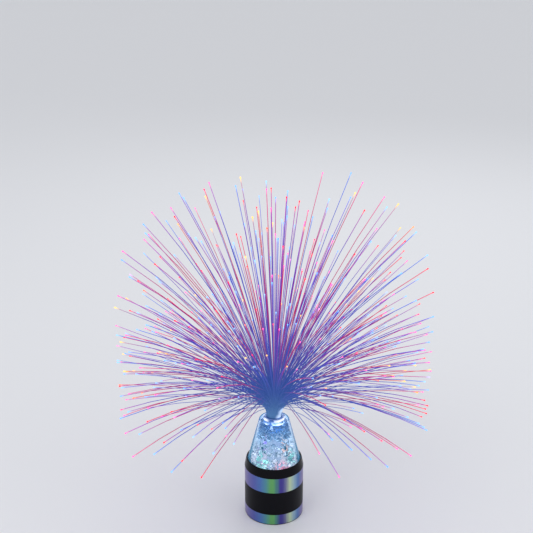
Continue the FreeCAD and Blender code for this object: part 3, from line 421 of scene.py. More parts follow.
def cell_jacket(name, plus_side):
    """A printed metal sleeve: steel ends, a copper band at the plus end and a deep blue body."""
    material, tree, shader = new_finish(name)
    where, axes = place_of(tree)
    along = mathematics(tree, "MULTIPLY_ADD", axes["X"], plus_side / (CELL_SPAN * MM), 0.5)
    tree.links.new(ramp(tree, along, SLEEVE_STOPS), shader.inputs["Base Color"])
    shader.inputs["Metallic"].default_value = 0.6
    shader.inputs["Roughness"].default_value = 0.3
    bump(tree, shader, noise(tree, where, 900.0), 0.05)
    return material


plus_right = cell_jacket("cell_jacket_plus_right", 1)
plus_left = cell_jacket("cell_jacket_plus_left", -1)
FINISHES = {
    plus_right: ["battery_cell_1", "battery_cell_3"],
    plus_left: ["battery_cell_2"],
    rubber: ["foot_ring"],
    steel: ["plate_screw_1", "plate_screw_2", "plate_screw_3", "board_screw_1", "board_screw_2",
            "board_screw_3"],
    nickel: ["positive_contact", "negative_contact", "linking_contact_1", "linking_contact_2",
             "contact_leaf_1", "contact_leaf_2", "contact_leaf_3"],
    board_green: ["circuit_board"],
    black_case: ["switch_body", "controller_chip", "resistor_1", "resistor_2", "resistor_3"],
    red_wire: ["positive_lead", "switch_lead"],
    black_wire: ["negative_lead"],
    knob_grey: ["switch_slider"],
    milk_white: ["chamber_floor"],
    lens: ["main_led", "ice_led_1", "ice_led_2", "ice_led_3", "ice_led_4"],
}
for material, names in FINISHES.items():
    for name in names:
        dress(name, material)
print("small pieces dressed:", sum(len(names) for names in FINISHES.values()))

# %% [markdown]
# ## Turning a clear shell
# The dome is a round shell, so half of its section is drawn once as a run of edges and spun about the axis.
# The ends of the spin are merged, so the shell has no seam.

# %% Spin a section


def spun(name, section, steps):
    """A closed half section of (radius, height) corners, in millimetres, spun about the lamp's axis."""
    shell = bmesh.new()
    corners = [shell.verts.new((radius * MM, 0, height * MM)) for radius, height in section]
    edges = [shell.edges.new((first, second)) for first, second in zip(corners, corners[1:] + corners[:1])]
    bmesh.ops.spin(shell, geom=corners + edges, cent=(0, 0, 0), axis=(0, 0, 1), angle=2 * math.pi,
                   steps=steps, use_merge=True)
    bmesh.ops.remove_doubles(shell, verts=shell.verts, dist=0.002 * MM)
    bmesh.ops.recalc_face_normals(shell, faces=shell.faces)
    return as_piece(shell, name)


def as_piece(shape, name):
    """Turns finished mesh work into an object."""
    mesh = bpy.data.meshes.new(name)
    shape.to_mesh(mesh)
    shape.free()
    piece = bpy.data.objects.new(name, mesh)
    bpy.context.collection.objects.link(piece)
    return piece


def shade_smooth(piece, angle=35.0):
    """Smooth shading, with the true corners kept sharp."""
    for polygon in piece.data.polygons:
        polygon.use_smooth = True
    with bpy.context.temp_override(object=piece, active_object=piece, selected_editable_objects=[piece]):
        bpy.ops.object.shade_smooth_by_angle(angle=math.radians(angle))


# %% [markdown]
# ## Marks by the switch
# On the back, a short bar above the switch and a small ring below it show on and off. They are printed in
# pale ink, so each is a very thin raised shape on the black belt.

# %% Switch marks
BELT_RADIUS = 32.0
INK_THICKNESS = 0.08
BAR_HALF = (0.3, 1.6)
RING_RADIUS = 1.7
RING_WIDTH = 0.55
RING_SIDES = 32
MARK_LIFT = 10.0
SWITCH_HEIGHT = 26.0


def stood_on_belt(mark, name, height):
    """Thickens a flat mark, stands it upright on the back of the belt at a height and makes it a piece."""
    pushed = bmesh.ops.extrude_face_region(mark, geom=mark.faces)["geom"]
    raised = [item for item in pushed if isinstance(item, bmesh.types.BMVert)]
    bmesh.ops.translate(mark, verts=raised, vec=(0, 0, INK_THICKNESS * MM))
    bmesh.ops.rotate(mark, verts=mark.verts, cent=(0, 0, 0), matrix=Matrix.Rotation(-math.pi / 2, 3, "X"))
    bmesh.ops.translate(mark, verts=mark.verts, vec=(0, (BELT_RADIUS + 0.02) * MM, height * MM))
    bmesh.ops.recalc_face_normals(mark, faces=mark.faces)
    return as_piece(mark, name)


def bar_mark():
    """A flat upright bar."""
    mark = bmesh.new()
    bmesh.ops.create_grid(mark, x_segments=1, y_segments=1, size=1.0)
    bmesh.ops.scale(mark, vec=(BAR_HALF[0] * MM, BAR_HALF[1] * MM, 1), verts=mark.verts)
    return mark


def ring_mark():
    """A flat ring: a disc, inset, with its middle taken out."""
    mark = bmesh.new()
    bmesh.ops.create_circle(mark, cap_ends=True, segments=RING_SIDES, radius=RING_RADIUS * MM)
    bmesh.ops.inset_region(mark, faces=list(mark.faces), thickness=RING_WIDTH * MM, use_boundary=True,
                           use_even_offset=True)
    middle = [face for face in mark.faces if len(face.verts) == RING_SIDES]
    bmesh.ops.delete(mark, geom=middle, context="FACES")
    return mark


on_mark = stood_on_belt(bar_mark(), "on_mark", SWITCH_HEIGHT + MARK_LIFT)
off_mark = stood_on_belt(ring_mark(), "off_mark", SWITCH_HEIGHT - MARK_LIFT)
pale_ink = plain_finish("pale_ink", (0.62, 0.63, 0.66), 0.6)
for mark in (on_mark, off_mark):
    mark.data.materials.append(pale_ink)
    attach(mark, "base")
print("switch marks:", len(on_mark.data.polygons), "and", len(off_mark.data.polygons), "faces")

# %% [markdown]
# ## The battery door's grip
# Underneath, the door has four raised bars by its tongue for a fingernail, and a raised arrow that points to
# the side that opens. Both are drawn flat, a grid for each bar and a triangle for the arrow, then thickened.

# %% Door grip
DOOR_FACE = 1.4
GRIP_DEPTH = 0.35
GRIP_BARS = 4
GRIP_HALF = (6.0, 0.35)
FIRST_BAR = 13.5
BAR_STEP = 1.5
ARROW_PLACE = 1.2
ARROW_SIZE = 4.2
ARROW_SHAFT = 4.2


def grip_bar(shape, y):
    """One flat bar across the door."""
    bar = bmesh.ops.create_grid(shape, x_segments=1, y_segments=1, size=1.0)["verts"]
    bmesh.ops.scale(shape, vec=(GRIP_HALF[0] * MM, GRIP_HALF[1] * MM, 1), verts=bar)
    bmesh.ops.translate(shape, verts=bar, vec=(0, y * MM, 0))


def grip_arrow(shape):
    """A flat triangle whose base edge is cut in three, with the middle third drawn out as the shaft."""
    corners = bmesh.ops.create_circle(shape, cap_ends=True, segments=3, radius=ARROW_SIZE * MM)["verts"]
    base = min({edge for corner in corners for edge in corner.link_edges},
               key=lambda edge: edge.verts[0].co.y + edge.verts[1].co.y)
    cuts = bmesh.ops.bisect_edges(shape, edges=[base], cuts=2)["geom_split"]
    thirds = [item for item in cuts if isinstance(item, bmesh.types.BMEdge)]
    middle = min(thirds, key=lambda edge: abs(edge.verts[0].co.x + edge.verts[1].co.x))
    drawn = bmesh.ops.extrude_edge_only(shape, edges=[middle])["geom"]
    end = [item for item in drawn if isinstance(item, bmesh.types.BMVert)]
    bmesh.ops.translate(shape, verts=end, vec=(0, -ARROW_SHAFT * MM, 0))


def door_grip():
    """Four bars and an arrow, thickened downwards."""
    shape = bmesh.new()
    grip_arrow(shape)
    bmesh.ops.translate(shape, verts=shape.verts, vec=(0, ARROW_PLACE * MM, 0))
    for bar_number in range(GRIP_BARS):
        grip_bar(shape, FIRST_BAR - BAR_STEP * bar_number)
    bmesh.ops.translate(shape, verts=shape.verts, vec=(0, 0, (DOOR_FACE - 0.01) * MM))
    pushed = bmesh.ops.extrude_face_region(shape, geom=list(shape.faces))["geom"]
    lowered = [item for item in pushed if isinstance(item, bmesh.types.BMVert)]
    bmesh.ops.translate(shape, verts=lowered, vec=(0, 0, -GRIP_DEPTH * MM))
    bmesh.ops.recalc_face_normals(shape, faces=shape.faces)
    return as_piece(shape, "door_grip")


grip = door_grip()
grip.data.materials.append(grained_black)
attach(grip, "battery_door")
print("door grip faces:", len(grip.data.polygons))

# %% [markdown]
# ## Screw heads
# The three screws that hold the base plate have round heads with a cross recess. A disc is pushed up for the
# head, its top is inset and pushed up again for the shank, and its underside is sliced by eight planes, so
# that the squares that make a cross can be pushed in.

# %% Screws
HEAD_RADIUS = 2.1
HEAD_HEIGHT = 1.2
SHANK_RADIUS = 1.0
CROSS_ARM = 1.25
CROSS_HALF = 0.3
CROSS_DEPTH = 0.7


def pushed_up(shape, faces, distance):
    """Extrudes faces by a height, and returns the faces at the far end."""
    far = bmesh.ops.extrude_face_region(shape, geom=faces)["geom"]
    corners = [item for item in far if isinstance(item, bmesh.types.BMVert)]
    bmesh.ops.translate(shape, verts=corners, vec=(0, 0, distance * MM))
    return [item for item in far if isinstance(item, bmesh.types.BMFace)]


def cross_recess(shape):
    """Slices the underside along the cross's sides, and pushes the cross in."""
    for axis in ((1, 0, 0), (0, 1, 0)):
        for offset in (-CROSS_ARM, -CROSS_HALF, CROSS_HALF, CROSS_ARM):
            under = [face for face in shape.faces if face.calc_center_median().z < 0.01 * MM]
            geometry = under + list({edge for face in under for edge in face.edges})
            geometry += list({corner for face in under for corner in face.verts})
            bmesh.ops.bisect_plane(shape, geom=geometry, plane_co=Vector(axis) * offset * MM, plane_no=axis)
    cross = []
    for face in shape.faces:
        middle = face.calc_center_median() / MM
        near, far = sorted((abs(middle.x), abs(middle.y)))
        if middle.z < 0.01 and near < CROSS_HALF and far < CROSS_ARM:
            cross.append(face)
    pushed_up(shape, cross, CROSS_DEPTH)
    bmesh.ops.delete(shape, geom=cross, context="FACES")


def screw_shape(length):
    """A head that stands on nothing, a shank above it and a cross recess below."""
    shape = bmesh.new()
    bmesh.ops.create_circle(shape, cap_ends=True, segments=32, radius=HEAD_RADIUS * MM)
    top = pushed_up(shape, list(shape.faces), HEAD_HEIGHT)
    bmesh.ops.inset_region(shape, faces=top, thickness=(HEAD_RADIUS - SHANK_RADIUS) * MM)
    pushed_up(shape, top, length)
    bmesh.ops.delete(shape, geom=top, context="FACES")
    cross_recess(shape)
    return shape


for number in (1, 2, 3):
    low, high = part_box(f"plate_screw_{number}")
    middle = (Vector(low) + Vector(high)) / 2
    screw = screw_shape((high[2] - low[2]) / MM - HEAD_HEIGHT)
    bmesh.ops.translate(screw, verts=screw.verts, vec=(middle.x, middle.y, low[2]))
    bmesh.ops.recalc_face_normals(screw, faces=screw.faces)
    piece = as_piece(screw, f"plate_screw_{number}_cross")
    piece.data.materials.append(steel)
    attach(piece, "base")
    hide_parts(f"plate_screw_{number}")
print("screws with a cross recess: 3")

# %% [markdown]
# ## The ice dome
# The real dome is clear acrylic, polished outside, with a rounded shoulder and a socket for the plug moulded
# into its top. The lights below shine up its wall, so it carries a soft blue sheen that is strongest near the
# top, where all of that light gathers. Seen along the wall, there is more plastic to look through, so its
# outline is a deeper blue.

# %% Dome section
DOME_FOOT_HEIGHT = 51.6
DOME_FOOT_INSIDE = 27.65
DOME_FOOT_OUTSIDE = 29.3
DOME_STEP = (28.6, 65.4)
DOME_RIM = (15.9, 114.0)
DOME_ROUND = 2.4
DOME_WALL_START = (27.65, 62.7)
DOME_WALL_END = (14.8, 112.0)
SOCKET_RADIUS = 10.23
SOCKET_WALL_RADIUS = 11.43
SOCKET_FOOT = 100.0
DOME_LEAN = math.atan2(DOME_STEP[0] - DOME_RIM[0], DOME_RIM[1] - DOME_STEP[1])


def shoulder_arc(steps=8):
    """The rounded corner between the dome's leaning wall and its level top."""
    back = DOME_ROUND / math.tan((math.pi / 2 + DOME_LEAN) / 2)
    middle = (DOME_RIM[0] - back, DOME_RIM[1] - DOME_ROUND)
    arc = []
    for step in range(steps + 1):
        angle = DOME_LEAN + (math.pi / 2 - DOME_LEAN) * step / steps
        arc.append((middle[0] + DOME_ROUND * math.cos(angle), middle[1] + DOME_ROUND * math.sin(angle)))
    return arc


def dome_section():
    """The dome's wall, from its foot up the outside, over the shoulder, down the socket and back."""
    outside = [(DOME_FOOT_INSIDE, DOME_FOOT_HEIGHT), (DOME_FOOT_OUTSIDE, DOME_FOOT_HEIGHT),
               (DOME_FOOT_OUTSIDE, DOME_STEP[1]), DOME_STEP]
    socket = [(SOCKET_RADIUS, DOME_RIM[1]), (SOCKET_RADIUS, SOCKET_FOOT), (SOCKET_WALL_RADIUS, SOCKET_FOOT),
              (SOCKET_WALL_RADIUS, DOME_WALL_END[1])]
    return outside + shoulder_arc() + socket + [DOME_WALL_END, DOME_WALL_START]


dome = spun("ice_dome_shell", dome_section(), 128)
shade_smooth(dome)
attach(dome, "base")
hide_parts("ice_dome")
print("dome faces:", len(dome.data.polygons))

# %% [markdown]
# ## Clear acrylic
# A glass shader would do for the dome alone, but its plastic is lit from below as well. So it is a clear
# plastic that also glows a little, by a ramp over its height, and its tint follows how squarely it is seen.

# %% Dome finish
SHEEN_LOW = (0.03, 0.16, 0.28)
SHEEN_HIGH = (0.03, 0.12, 0.34)
EDGE_TINT = (0.06, 0.30, 0.55)


def dome_share(tree, axes):
    """0 at the dome's foot and 1 at its top."""
    height = (DOME_RIM[1] - DOME_FOOT_HEIGHT) * MM
    return mathematics(tree, "MULTIPLY_ADD", axes["Z"], 1 / height, -DOME_FOOT_HEIGHT * MM / height)


def dome_plastic():
    """Clear acrylic with a blue sheen that grows with height."""
    material, tree, shader = new_finish("dome_plastic")
    where, axes = place_of(tree)
    colour = ramp(tree, dome_share(tree, axes), [(0.0, SHEEN_LOW), (0.35, SHEEN_LOW), (0.95, SHEEN_HIGH)])
    tree.links.new(colour, shader.inputs["Emission Color"])
    shader.inputs["Emission Strength"].default_value = 0.22
    rough = ramp(tree, noise(tree, where, 300.0), [(0.3, grey(0.02)), (0.7, grey(0.06))])
    tree.links.new(rough, shader.inputs["Roughness"])
    slant = tree.nodes.new("ShaderNodeLayerWeight").outputs["Facing"]
    tint = ramp(tree, slant, [(0.0, (0.92, 0.98, 1.0)), (0.62, (0.80, 0.93, 1.0)), (0.95, EDGE_TINT)])
    tree.links.new(tint, shader.inputs["Base Color"])
    shader.inputs["IOR"].default_value = 1.18
    shader.inputs["Transmission Weight"].default_value = 1.0
    return material


dome.data.materials.append(dome_plastic())
print("dome finish:", dome.data.materials[0].name)

# %% [markdown]
# ## Crushed ice
# The chips inside are broken clear plastic. Each is the hull round a handful of scattered points, which gives
# the flat, odd-sided facets of a real splinter. Large ones lie where the solid chips do, and a great many
# small ones fill the gaps along the wall. Every facet keeps a number of its own, for the light to use.

# %% Find the solid chips


def loose_parts(name):
    """The middle and half size of each separate chip in a solid node."""
    copy = bmesh.new()
    copy.from_mesh(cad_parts[name].data)
    bmesh.ops.remove_doubles(copy, verts=copy.verts, dist=0.00001)
    seen = set()
    found = []
    for start in copy.verts:
        if start.index in seen:
            continue
        group = [start]
        seen.add(start.index)
        for vertex in group:
            for edge in vertex.link_edges:
                other = edge.other_vert(vertex)
                if other.index not in seen:
                    seen.add(other.index)
                    group.append(other)
        middle = sum((vertex.co for vertex in group), Vector()) / len(group)
        reach = sum((vertex.co - middle).length for vertex in group) / len(group)
        found.append((middle, reach))
    copy.free()
    return found


chips = loose_parts("ice_chips")
print("solid chips found:", len(chips))

# %% [markdown]
# ## Breaking the ice
# Splinters could be cut one by one from a block, but a hull is quicker and never fails: it wraps scattered
# points as tightly as foil. The dice are seeded, so the ice breaks the same way every time.

# %% Break the ice
CHIP_POINTS = 12
SMALL_CHIPS = 620
SMALL_SIZES = (0.9, 1.9)
SMALL_HEIGHTS = (53.0, 110.6)
TOP_CHIPS = 260
TOP_SIZES = (0.8, 1.3)
TOP_HEIGHTS = (94.0, 110.4)
SOCKET_OUTSIDE = 11.5
TOP_CHIPS_LEAST = 13.0
ROOM_AT_FOOT = 27.6
ROOM_AT_TOP = 14.75
ROOM_LEAN = 0.2613
chip_dice = random.Random(11)


def add_splinter(ice, middle, reach):
    """One chip: the hull round scattered points, pushed out to a rough ball."""
    points = []
    for _ in range(CHIP_POINTS):
        direction = Vector([chip_dice.gauss(0, 1) for _ in range(3)]).normalized()
        points.append(ice.verts.new(middle + direction * reach * chip_dice.uniform(0.84, 1.0)))
    result = bmesh.ops.convex_hull(ice, input=points)
    spare = [item for item in result["geom_interior"] if isinstance(item, bmesh.types.BMVert)]
    bmesh.ops.delete(ice, geom=spare, context="VERTS")


def dome_room(height):
    """The dome's clear radius at a height, in metres."""
    return min(ROOM_AT_FOOT, ROOM_AT_TOP + (DOME_WALL_END[1] - height / MM) * ROOM_LEAN) * MM


def crushed_ice():
    """Every large chip, then small ones along the dome's wall and under its top."""
    ice = bmesh.new()
    for middle, reach in chips:
        add_splinter(ice, middle, reach)
    for count in range(SMALL_CHIPS):
        size = chip_dice.uniform(*SMALL_SIZES) * MM
        height = chip_dice.uniform(*SMALL_HEIGHTS) * MM
        angle = chip_dice.uniform(0, 2 * math.pi)
        circle = dome_room(height + size) - size * (1.02 + 0.9 * (count % 3))
        add_splinter(ice, Vector((circle * math.cos(angle), circle * math.sin(angle), height)), size)
    for _ in range(TOP_CHIPS):
        size = chip_dice.uniform(*TOP_SIZES) * MM
        height = chip_dice.uniform(*TOP_HEIGHTS) * MM
        angle = chip_dice.uniform(0, 2 * math.pi)
        widest = max(dome_room(height + size) - size, TOP_CHIPS_LEAST * MM)
        circle = chip_dice.uniform(SOCKET_OUTSIDE * MM + size, widest)
        add_splinter(ice, Vector((circle * math.cos(angle), circle * math.sin(angle), height)), size)
    bmesh.ops.recalc_face_normals(ice, faces=ice.faces)
    glint = ice.faces.layers.float.new("glint")
    for face in ice.faces:
        face[glint] = chip_dice.random()
    return as_piece(ice, "crushed_ice")


ice = crushed_ice()
print("ice facets:", len(ice.data.polygons))

# %% [markdown]
# ## Light in the ice
# A white light in the middle and four coloured ones round it fill the ice from below. That light is painted
# into
# the chips as a glow: nearly white near the floor, pale cyan halfway up and a deeper blue under the shoulder,
# and
# the ice in front of each coloured light takes some of its tint. Each facet's own random number paints a
# glint:
# a few facets flash, and the dim ones are painted darker, as shade.

# %% Ice finish
ICE_STOPS = [(0.0, (0.80, 0.72, 0.80)), (0.28, (0.74, 0.73, 0.82)), (0.45, (0.50, 0.60, 0.72)),
             (0.62, (0.18, 0.32, 0.50)), (0.80, (0.05, 0.12, 0.28)), (1.0, (0.10, 0.20, 0.40))]
NEAR_GAIN = 1.4
FLASH_STOPS = [(0.0, grey(0.08)), (0.40, grey(0.42)), (0.84, grey(0.72)), (0.92, grey(1.0))]
TINTS = [((10, -25, 64), 13, (1.0, 0.22, 0.32)), ((-14, -20, 72), 13, (0.35, 0.95, 0.80)),
         ((21, -15, 74), 12, (0.35, 0.90, 0.75)), ((-12, 20, 72), 16, (0.45, 0.35, 1.0)),
         ((14, 20, 68), 14, (1.0, 0.55, 0.35))]


def attribute(tree, name):
    """A number that the piece carries."""
    made = tree.nodes.new("ShaderNodeAttribute")
    made.attribute_name = name
    return made.outputs["Fac"]


def nearness(tree, where, spot, reach):
    """1 close to a spot, falling to 0 at a reach from it, both in millimetres."""
    gap = tree.nodes.new("ShaderNodeVectorMath")
    gap.operation = "DISTANCE"
    gap.inputs[1].default_value = [value * MM for value in spot]
    tree.links.new(where, gap.inputs[0])
    fall = mathematics(tree, "MULTIPLY_ADD", gap.outputs["Value"], -NEAR_GAIN / (reach * MM), NEAR_GAIN)
    fall.node.use_clamp = True
    return fall


def lit_ice():
    """Chips with a glow that changes with height, tinted by the lights, and with each facet's own share."""
    material, tree, shader = new_finish("lit_ice")
    where, axes = place_of(tree)
    glint = attribute(tree, "glint")
    wander = mathematics(tree, "MULTIPLY_ADD", glint, -0.16, dome_share(tree, axes))
    colour = ramp(tree, wander, ICE_STOPS)
    for spot, reach, tint in TINTS:
        colour = blend(tree, nearness(tree, where, spot, reach), colour, tint)
    tree.links.new(colour, shader.inputs["Emission Color"])
    # A painted glint by each facet's number: bright facets glow more, and dim ones get painted shade in their
    # colour.
    flash = ramp(tree, glint, FLASH_STOPS)
    strength = mathematics(tree, "MULTIPLY", flash, 0.85)
    tree.links.new(strength, shader.inputs["Emission Strength"])
    body = blend(tree, flash, (0.02, 0.05, 0.11), colour)
    tree.links.new(body, shader.inputs["Base Color"])
    shader.inputs["Roughness"].default_value = 0.15
    shader.inputs["Coat Weight"].default_value = 0.5
    shader.inputs["Coat Roughness"].default_value = 0.05
    return material


ice.data.materials.append(lit_ice())
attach(ice, "base")
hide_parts("ice_chips")
print("colours in the ice:", len(ICE_STOPS), "by height and", len(TINTS), "by the lights")

# %% [markdown]
# ## The light guide
# A clear rod carries the white light up the dome's middle to the foot of the bundle. It glows faintly, no
# more than the ice round it, or it would show as a bar.

# %% Light guide
guide_glow = clear_finish("guide_glow", (0.55, 0.62, 0.72), (0.40, 0.50, 0.70), 0.22)
dress("light_guide", guide_glow)
print("light guide finish:", guide_glow.name)

# %% [markdown]
# ## The fibres
# Each fibre leaves the bundle straight, bends outwards, more so near the bundle's edge, and droops along its
# run. It is made lying in one upright plane, by pushing a small ring along and tipping it at each step, and
# then turned to its own direction. The cut end is rounded by heat to a tiny bead, where the light comes out.

# %% The spray's sizes
FIBRES = 256
FIBRE_RADIUS = 0.36
FINE_RADIUS = 0.28
BUNDLE_RADIUS = 8.0
BUNDLE_FOOT = 99.9
MOUTH = 117.3
FIBRE_LENGTH = 278.0
BEND_LENGTH = 50.0
FINE_BEND_LENGTH = 24.0
WIDEST_BEND = 99.0
BEND_POWER = 0.74
DROOP = 28.0
DROOP_LENGTH = 200.0
SPRAY_RADIUS = 164.0
SPRAY_TOP = 372.0
GOLDEN_TURN = 137.50776405
FRONT_ANGLE = 270.0
BEND_STEPS = 6
RUN_STEPS = 4
SIDES = 5
BEAD = [(2.1, 1.0), (1.4, 2.0), (0.6, 2.1), (0.0, 1.0)]
LIGHT_REACH = 300.0
SHORTEST_RUN = 20.0
TRIM_STEP = 1.0
UNEVEN_TOP = 12.0
UNEVEN_BEND = 0.06
NARROWER_FRONT = 0.16
NARROWER_WITHIN = 60.0
FRONT_HALF = 9.0
FRONT_BLEND = 10.0
HUE_STEP = 0.8191725134
LENGTH_STEP = 0.7548776662
BEND_STEP = 0.5698402910
TOP_STEP = 0.37


def spread(index, step):
    """A number from 0 to 1 that wanders evenly with its index."""
    return (index * step) % 1.0


def front_share(turn):
    """How much of its bend a fibre keeps: half of it where it would hang over the dome's front."""
    away = abs((turn - FRONT_ANGLE + 180) % 360 - 180)
    part = min(1.0, max(0.0, (away - FRONT_HALF) / FRONT_BLEND))
    return 0.5 + 0.5 * part * part * (3 - 2 * part)


print("fibres:", FIBRES, "each up to", FIBRE_LENGTH, "mm long")

# %% [markdown]
# ## One fibre's line
# A fibre's line is worked out flat, as a radius and a height: straight up to the mouth, round a bend, and
# along a wide arc that droops. It is cut back where it would leave the spray's outline.

# %% One fibre's line


def run_point(start, bend, curve, distance):
    """A point (radius, height) on the long drooping run."""
    turn = curve * distance
    if turn < 1e-5:
        return (start[0] + distance * math.sin(bend), start[1] + distance * math.cos(bend))
    radius = 1 / curve
    return (start[0] + radius * (math.cos(bend) - math.cos(bend + turn)),
            start[1] + radius * (math.sin(bend + turn) - math.sin(bend)))


def run_length(index, start, bend, curve, turn, length):
    """The run's length, cut back to the spray's round edge and uneven top."""
    away = abs((turn - FRONT_ANGLE + 90) % 180 - 90)
    reach = SPRAY_RADIUS * (1 - NARROWER_FRONT * max(0.0, 1 - away / NARROWER_WITHIN))
    top = SPRAY_TOP - UNEVEN_TOP * spread(index, TOP_STEP)
    while length > SHORTEST_RUN:
        radius, height = run_point(start, bend, curve, length)
        if radius <= reach and height <= top:
            break
        length -= TRIM_STEP
    return length


def strand_line(index, offset, turn, bend, length, bend_length=BEND_LENGTH):
    """A strand's stations: (radius, height, lean, distance so far, thickness)."""
    straight = MOUTH - BUNDLE_FOOT
    stations = [(offset, BUNDLE_FOOT, 0.0, 0.0, 1.0), (offset, MOUTH, 0.0, straight, 1.0)]
    bend_radius = bend_length / bend
    for step in range(1, BEND_STEPS + 1):
        lean = bend * step / BEND_STEPS
        radius, height = offset + bend_radius * (1 - math.cos(lean)), MOUTH + bend_radius * math.sin(lean)
        stations.append((radius, height, lean, straight + bend_length * step / BEND_STEPS, 1.0))
    start = stations[-1]
    curve = math.radians(DROOP) * math.sin(bend) / DROOP_LENGTH
    length = run_length(index, start, bend, curve, turn, length)
    distances = [(length * step / RUN_STEPS, 1.0) for step in range(1, RUN_STEPS)]
    distances += [(length - back, thickness) for back, thickness in BEAD]
    for distance, thickness in distances:
        radius, height = run_point(start, bend, curve, distance)
        stations.append((radius, height, bend + curve * distance, start[3] + distance, thickness))
    return stations


print("stations on an upright fibre:", len(strand_line(0, 0.0, 0.0, 0.01, 200.0)))

# %% [markdown]
# ## Which way each strand goes
# The bundle is packed like the seeds of a sunflower: each fibre is a golden turn on from the last and a
# little further out. Finer fibres fill the gaps, as far as they fit without touching.

# %% Which way each strand goes


def main_strand(index):
    """One of the solid fibres: its direction, its line and its hue."""
    share = (index + 0.5) / FIBRES
    turn = (GOLDEN_TURN * index) % 360
    bend = WIDEST_BEND * share ** BEND_POWER * (1 + UNEVEN_BEND * (spread(index, BEND_STEP) - 0.5))
    bend = math.radians(bend * front_share(turn))
    shortest = 0.5 + 0.22 * (1 - share)
    length = FIBRE_LENGTH * (shortest + (1 - shortest) * math.sqrt(spread(index, LENGTH_STEP))) - BEND_LENGTH
    line = strand_line(index, BUNDLE_RADIUS * math.sqrt(share), turn, bend, length)
    return turn, line, spread(index, HUE_STEP)


def sunflower(count):
    """Evenly packed places in the bundle, as (radius, angle, (x, y))."""
    for index in range(count):
        circle = BUNDLE_RADIUS * math.sqrt((index + 0.5) / count)
        angle = math.radians(GOLDEN_TURN * index)
        yield circle, angle, (circle * math.cos(angle), circle * math.sin(angle))


def bundle_gaps(clear=0.5, trials=6000):
    """Places between the bundle's fibres where a finer one has room, as (radius, angle)."""
    taken = [spot for _, _, spot in sunflower(FIBRES)]
    gaps = []
    for circle, angle, spot in sunflower(trials):
        if min(math.dist(spot, other) for other in taken) >= clear:
            taken.append(spot)
            gaps.append((circle, math.degrees(angle) % 360))
    return gaps


def fine_strand(index, offset, turn):
    """A finer, shorter fibre between the others, which fills out the plume."""
    share = offset / BUNDLE_RADIUS
    bend = math.radians((6 + 62 * share ** 1.4) * front_share(turn))
    length = 110 + 120 * spread(index, LENGTH_STEP) * (1.15 - 0.5 * share)
    line = strand_line(index, offset, turn, bend, length, FINE_BEND_LENGTH)
    return turn, line, 0.8 * spread(index, HUE_STEP)


gaps = bundle_gaps()
print("room for", len(gaps), "finer fibres")

# %% [markdown]
# ## Pushing a ring along
# A curve with a round bevel would give a fibre as well, but a pushed ring can carry numbers on the way: how
# far along it is, and the strand's own hue and spark, which its light needs.

# %% Push a ring along the line


def strand_mesh(turn, stations, hue_value, spark_value, thickness):
    """One strand as a mesh that carries the numbers its light needs."""
    strand = bmesh.new()
    layers = [strand.verts.layers.float.new(name) for name in ("along", "gone", "hue", "spark")]
    ring = bmesh.ops.create_circle(strand, segments=SIDES, radius=thickness * MM, cap_ends=True)["verts"]
    bmesh.ops.translate(strand, verts=ring, vec=(stations[0][0] * MM, 0, stations[0][1] * MM))
    edges = list(strand.edges)
    whole = stations[-1][3]
    for before, after in zip(stations, stations[1:]):
        pushed = bmesh.ops.extrude_edge_only(strand, edges=edges)["geom"]
        ring = [item for item in pushed if isinstance(item, bmesh.types.BMVert)]
        edges = [item for item in pushed if isinstance(item, bmesh.types.BMEdge)]
        shift = Vector((after[0] - before[0], 0, after[1] - before[1])) * MM
        bmesh.ops.translate(strand, verts=ring, vec=shift)
        centre = Vector((after[0] * MM, 0, after[1] * MM))
        tip = Matrix.Rotation(after[2] - before[2], 3, "Y")
        bmesh.ops.rotate(strand, verts=ring, cent=centre, matrix=tip)
        grow = after[4] / before[4]
        if grow != 1.0:
            bmesh.ops.scale(strand, vec=(grow, grow, grow), space=Matrix.Translation(-centre), verts=ring)
        for vertex in ring:
            vertex[layers[0]] = after[3] / whole
            vertex[layers[1]] = after[3] / LIGHT_REACH
    bmesh.ops.edgeloop_fill(strand, edges=edges)
    for vertex in strand.verts:
        vertex[layers[2]] = hue_value
        vertex[layers[3]] = spark_value
    bmesh.ops.rotate(strand, verts=strand.verts, cent=(0, 0, 0),
                     matrix=Matrix.Rotation(math.radians(turn), 3, "Z"))
    bmesh.ops.recalc_face_normals(strand, faces=strand.faces)
    mesh = bpy.data.meshes.new("strand")
    strand.to_mesh(mesh)
    strand.free()
    return mesh


def fibre_group(name, first, last):
    """A run of fibres, and a third of the finer ones, joined as one piece."""
    group = bmesh.new()
    strands = [(*main_strand(index), index, FIBRE_RADIUS) for index in range(first, last)]
    for index, (offset, turn) in enumerate(gaps):
        share = int((offset / BUNDLE_RADIUS) ** 2 * FIBRES)
        if first <= share < last:
            strands.append((*fine_strand(index, offset, turn), index, FINE_RADIUS))
    for turn, stations, hue, index, thickness in strands:
        mesh = strand_mesh(turn, stations, hue, spread(index, BEND_STEP), thickness)
        group.from_mesh(mesh)
        bpy.data.meshes.remove(mesh)
    piece = as_piece(group, name)
    for polygon in piece.data.polygons:
        polygon.use_smooth = True
    return piece


GROUPS = {"inner_fibres": (0, 85), "middle_fibres": (85, 170), "outer_fibres": (170, FIBRES)}
spray = [fibre_group(f"{node_name}_lit", *ends) for node_name, ends in GROUPS.items()]
print("faces in the spray:", [len(piece.data.polygons) for piece in spray])

# %% [markdown]
# ## Light in the fibres
# Light enters the bundle blue. Further out each strand takes its own colour, deep blue, violet or crimson,
# and the last stretch brightens towards the bead, which is the brightest point: ice blue, pink, red or amber.
# At the neck, the fibres on one side catch white light that leaks out beside the ferrule.

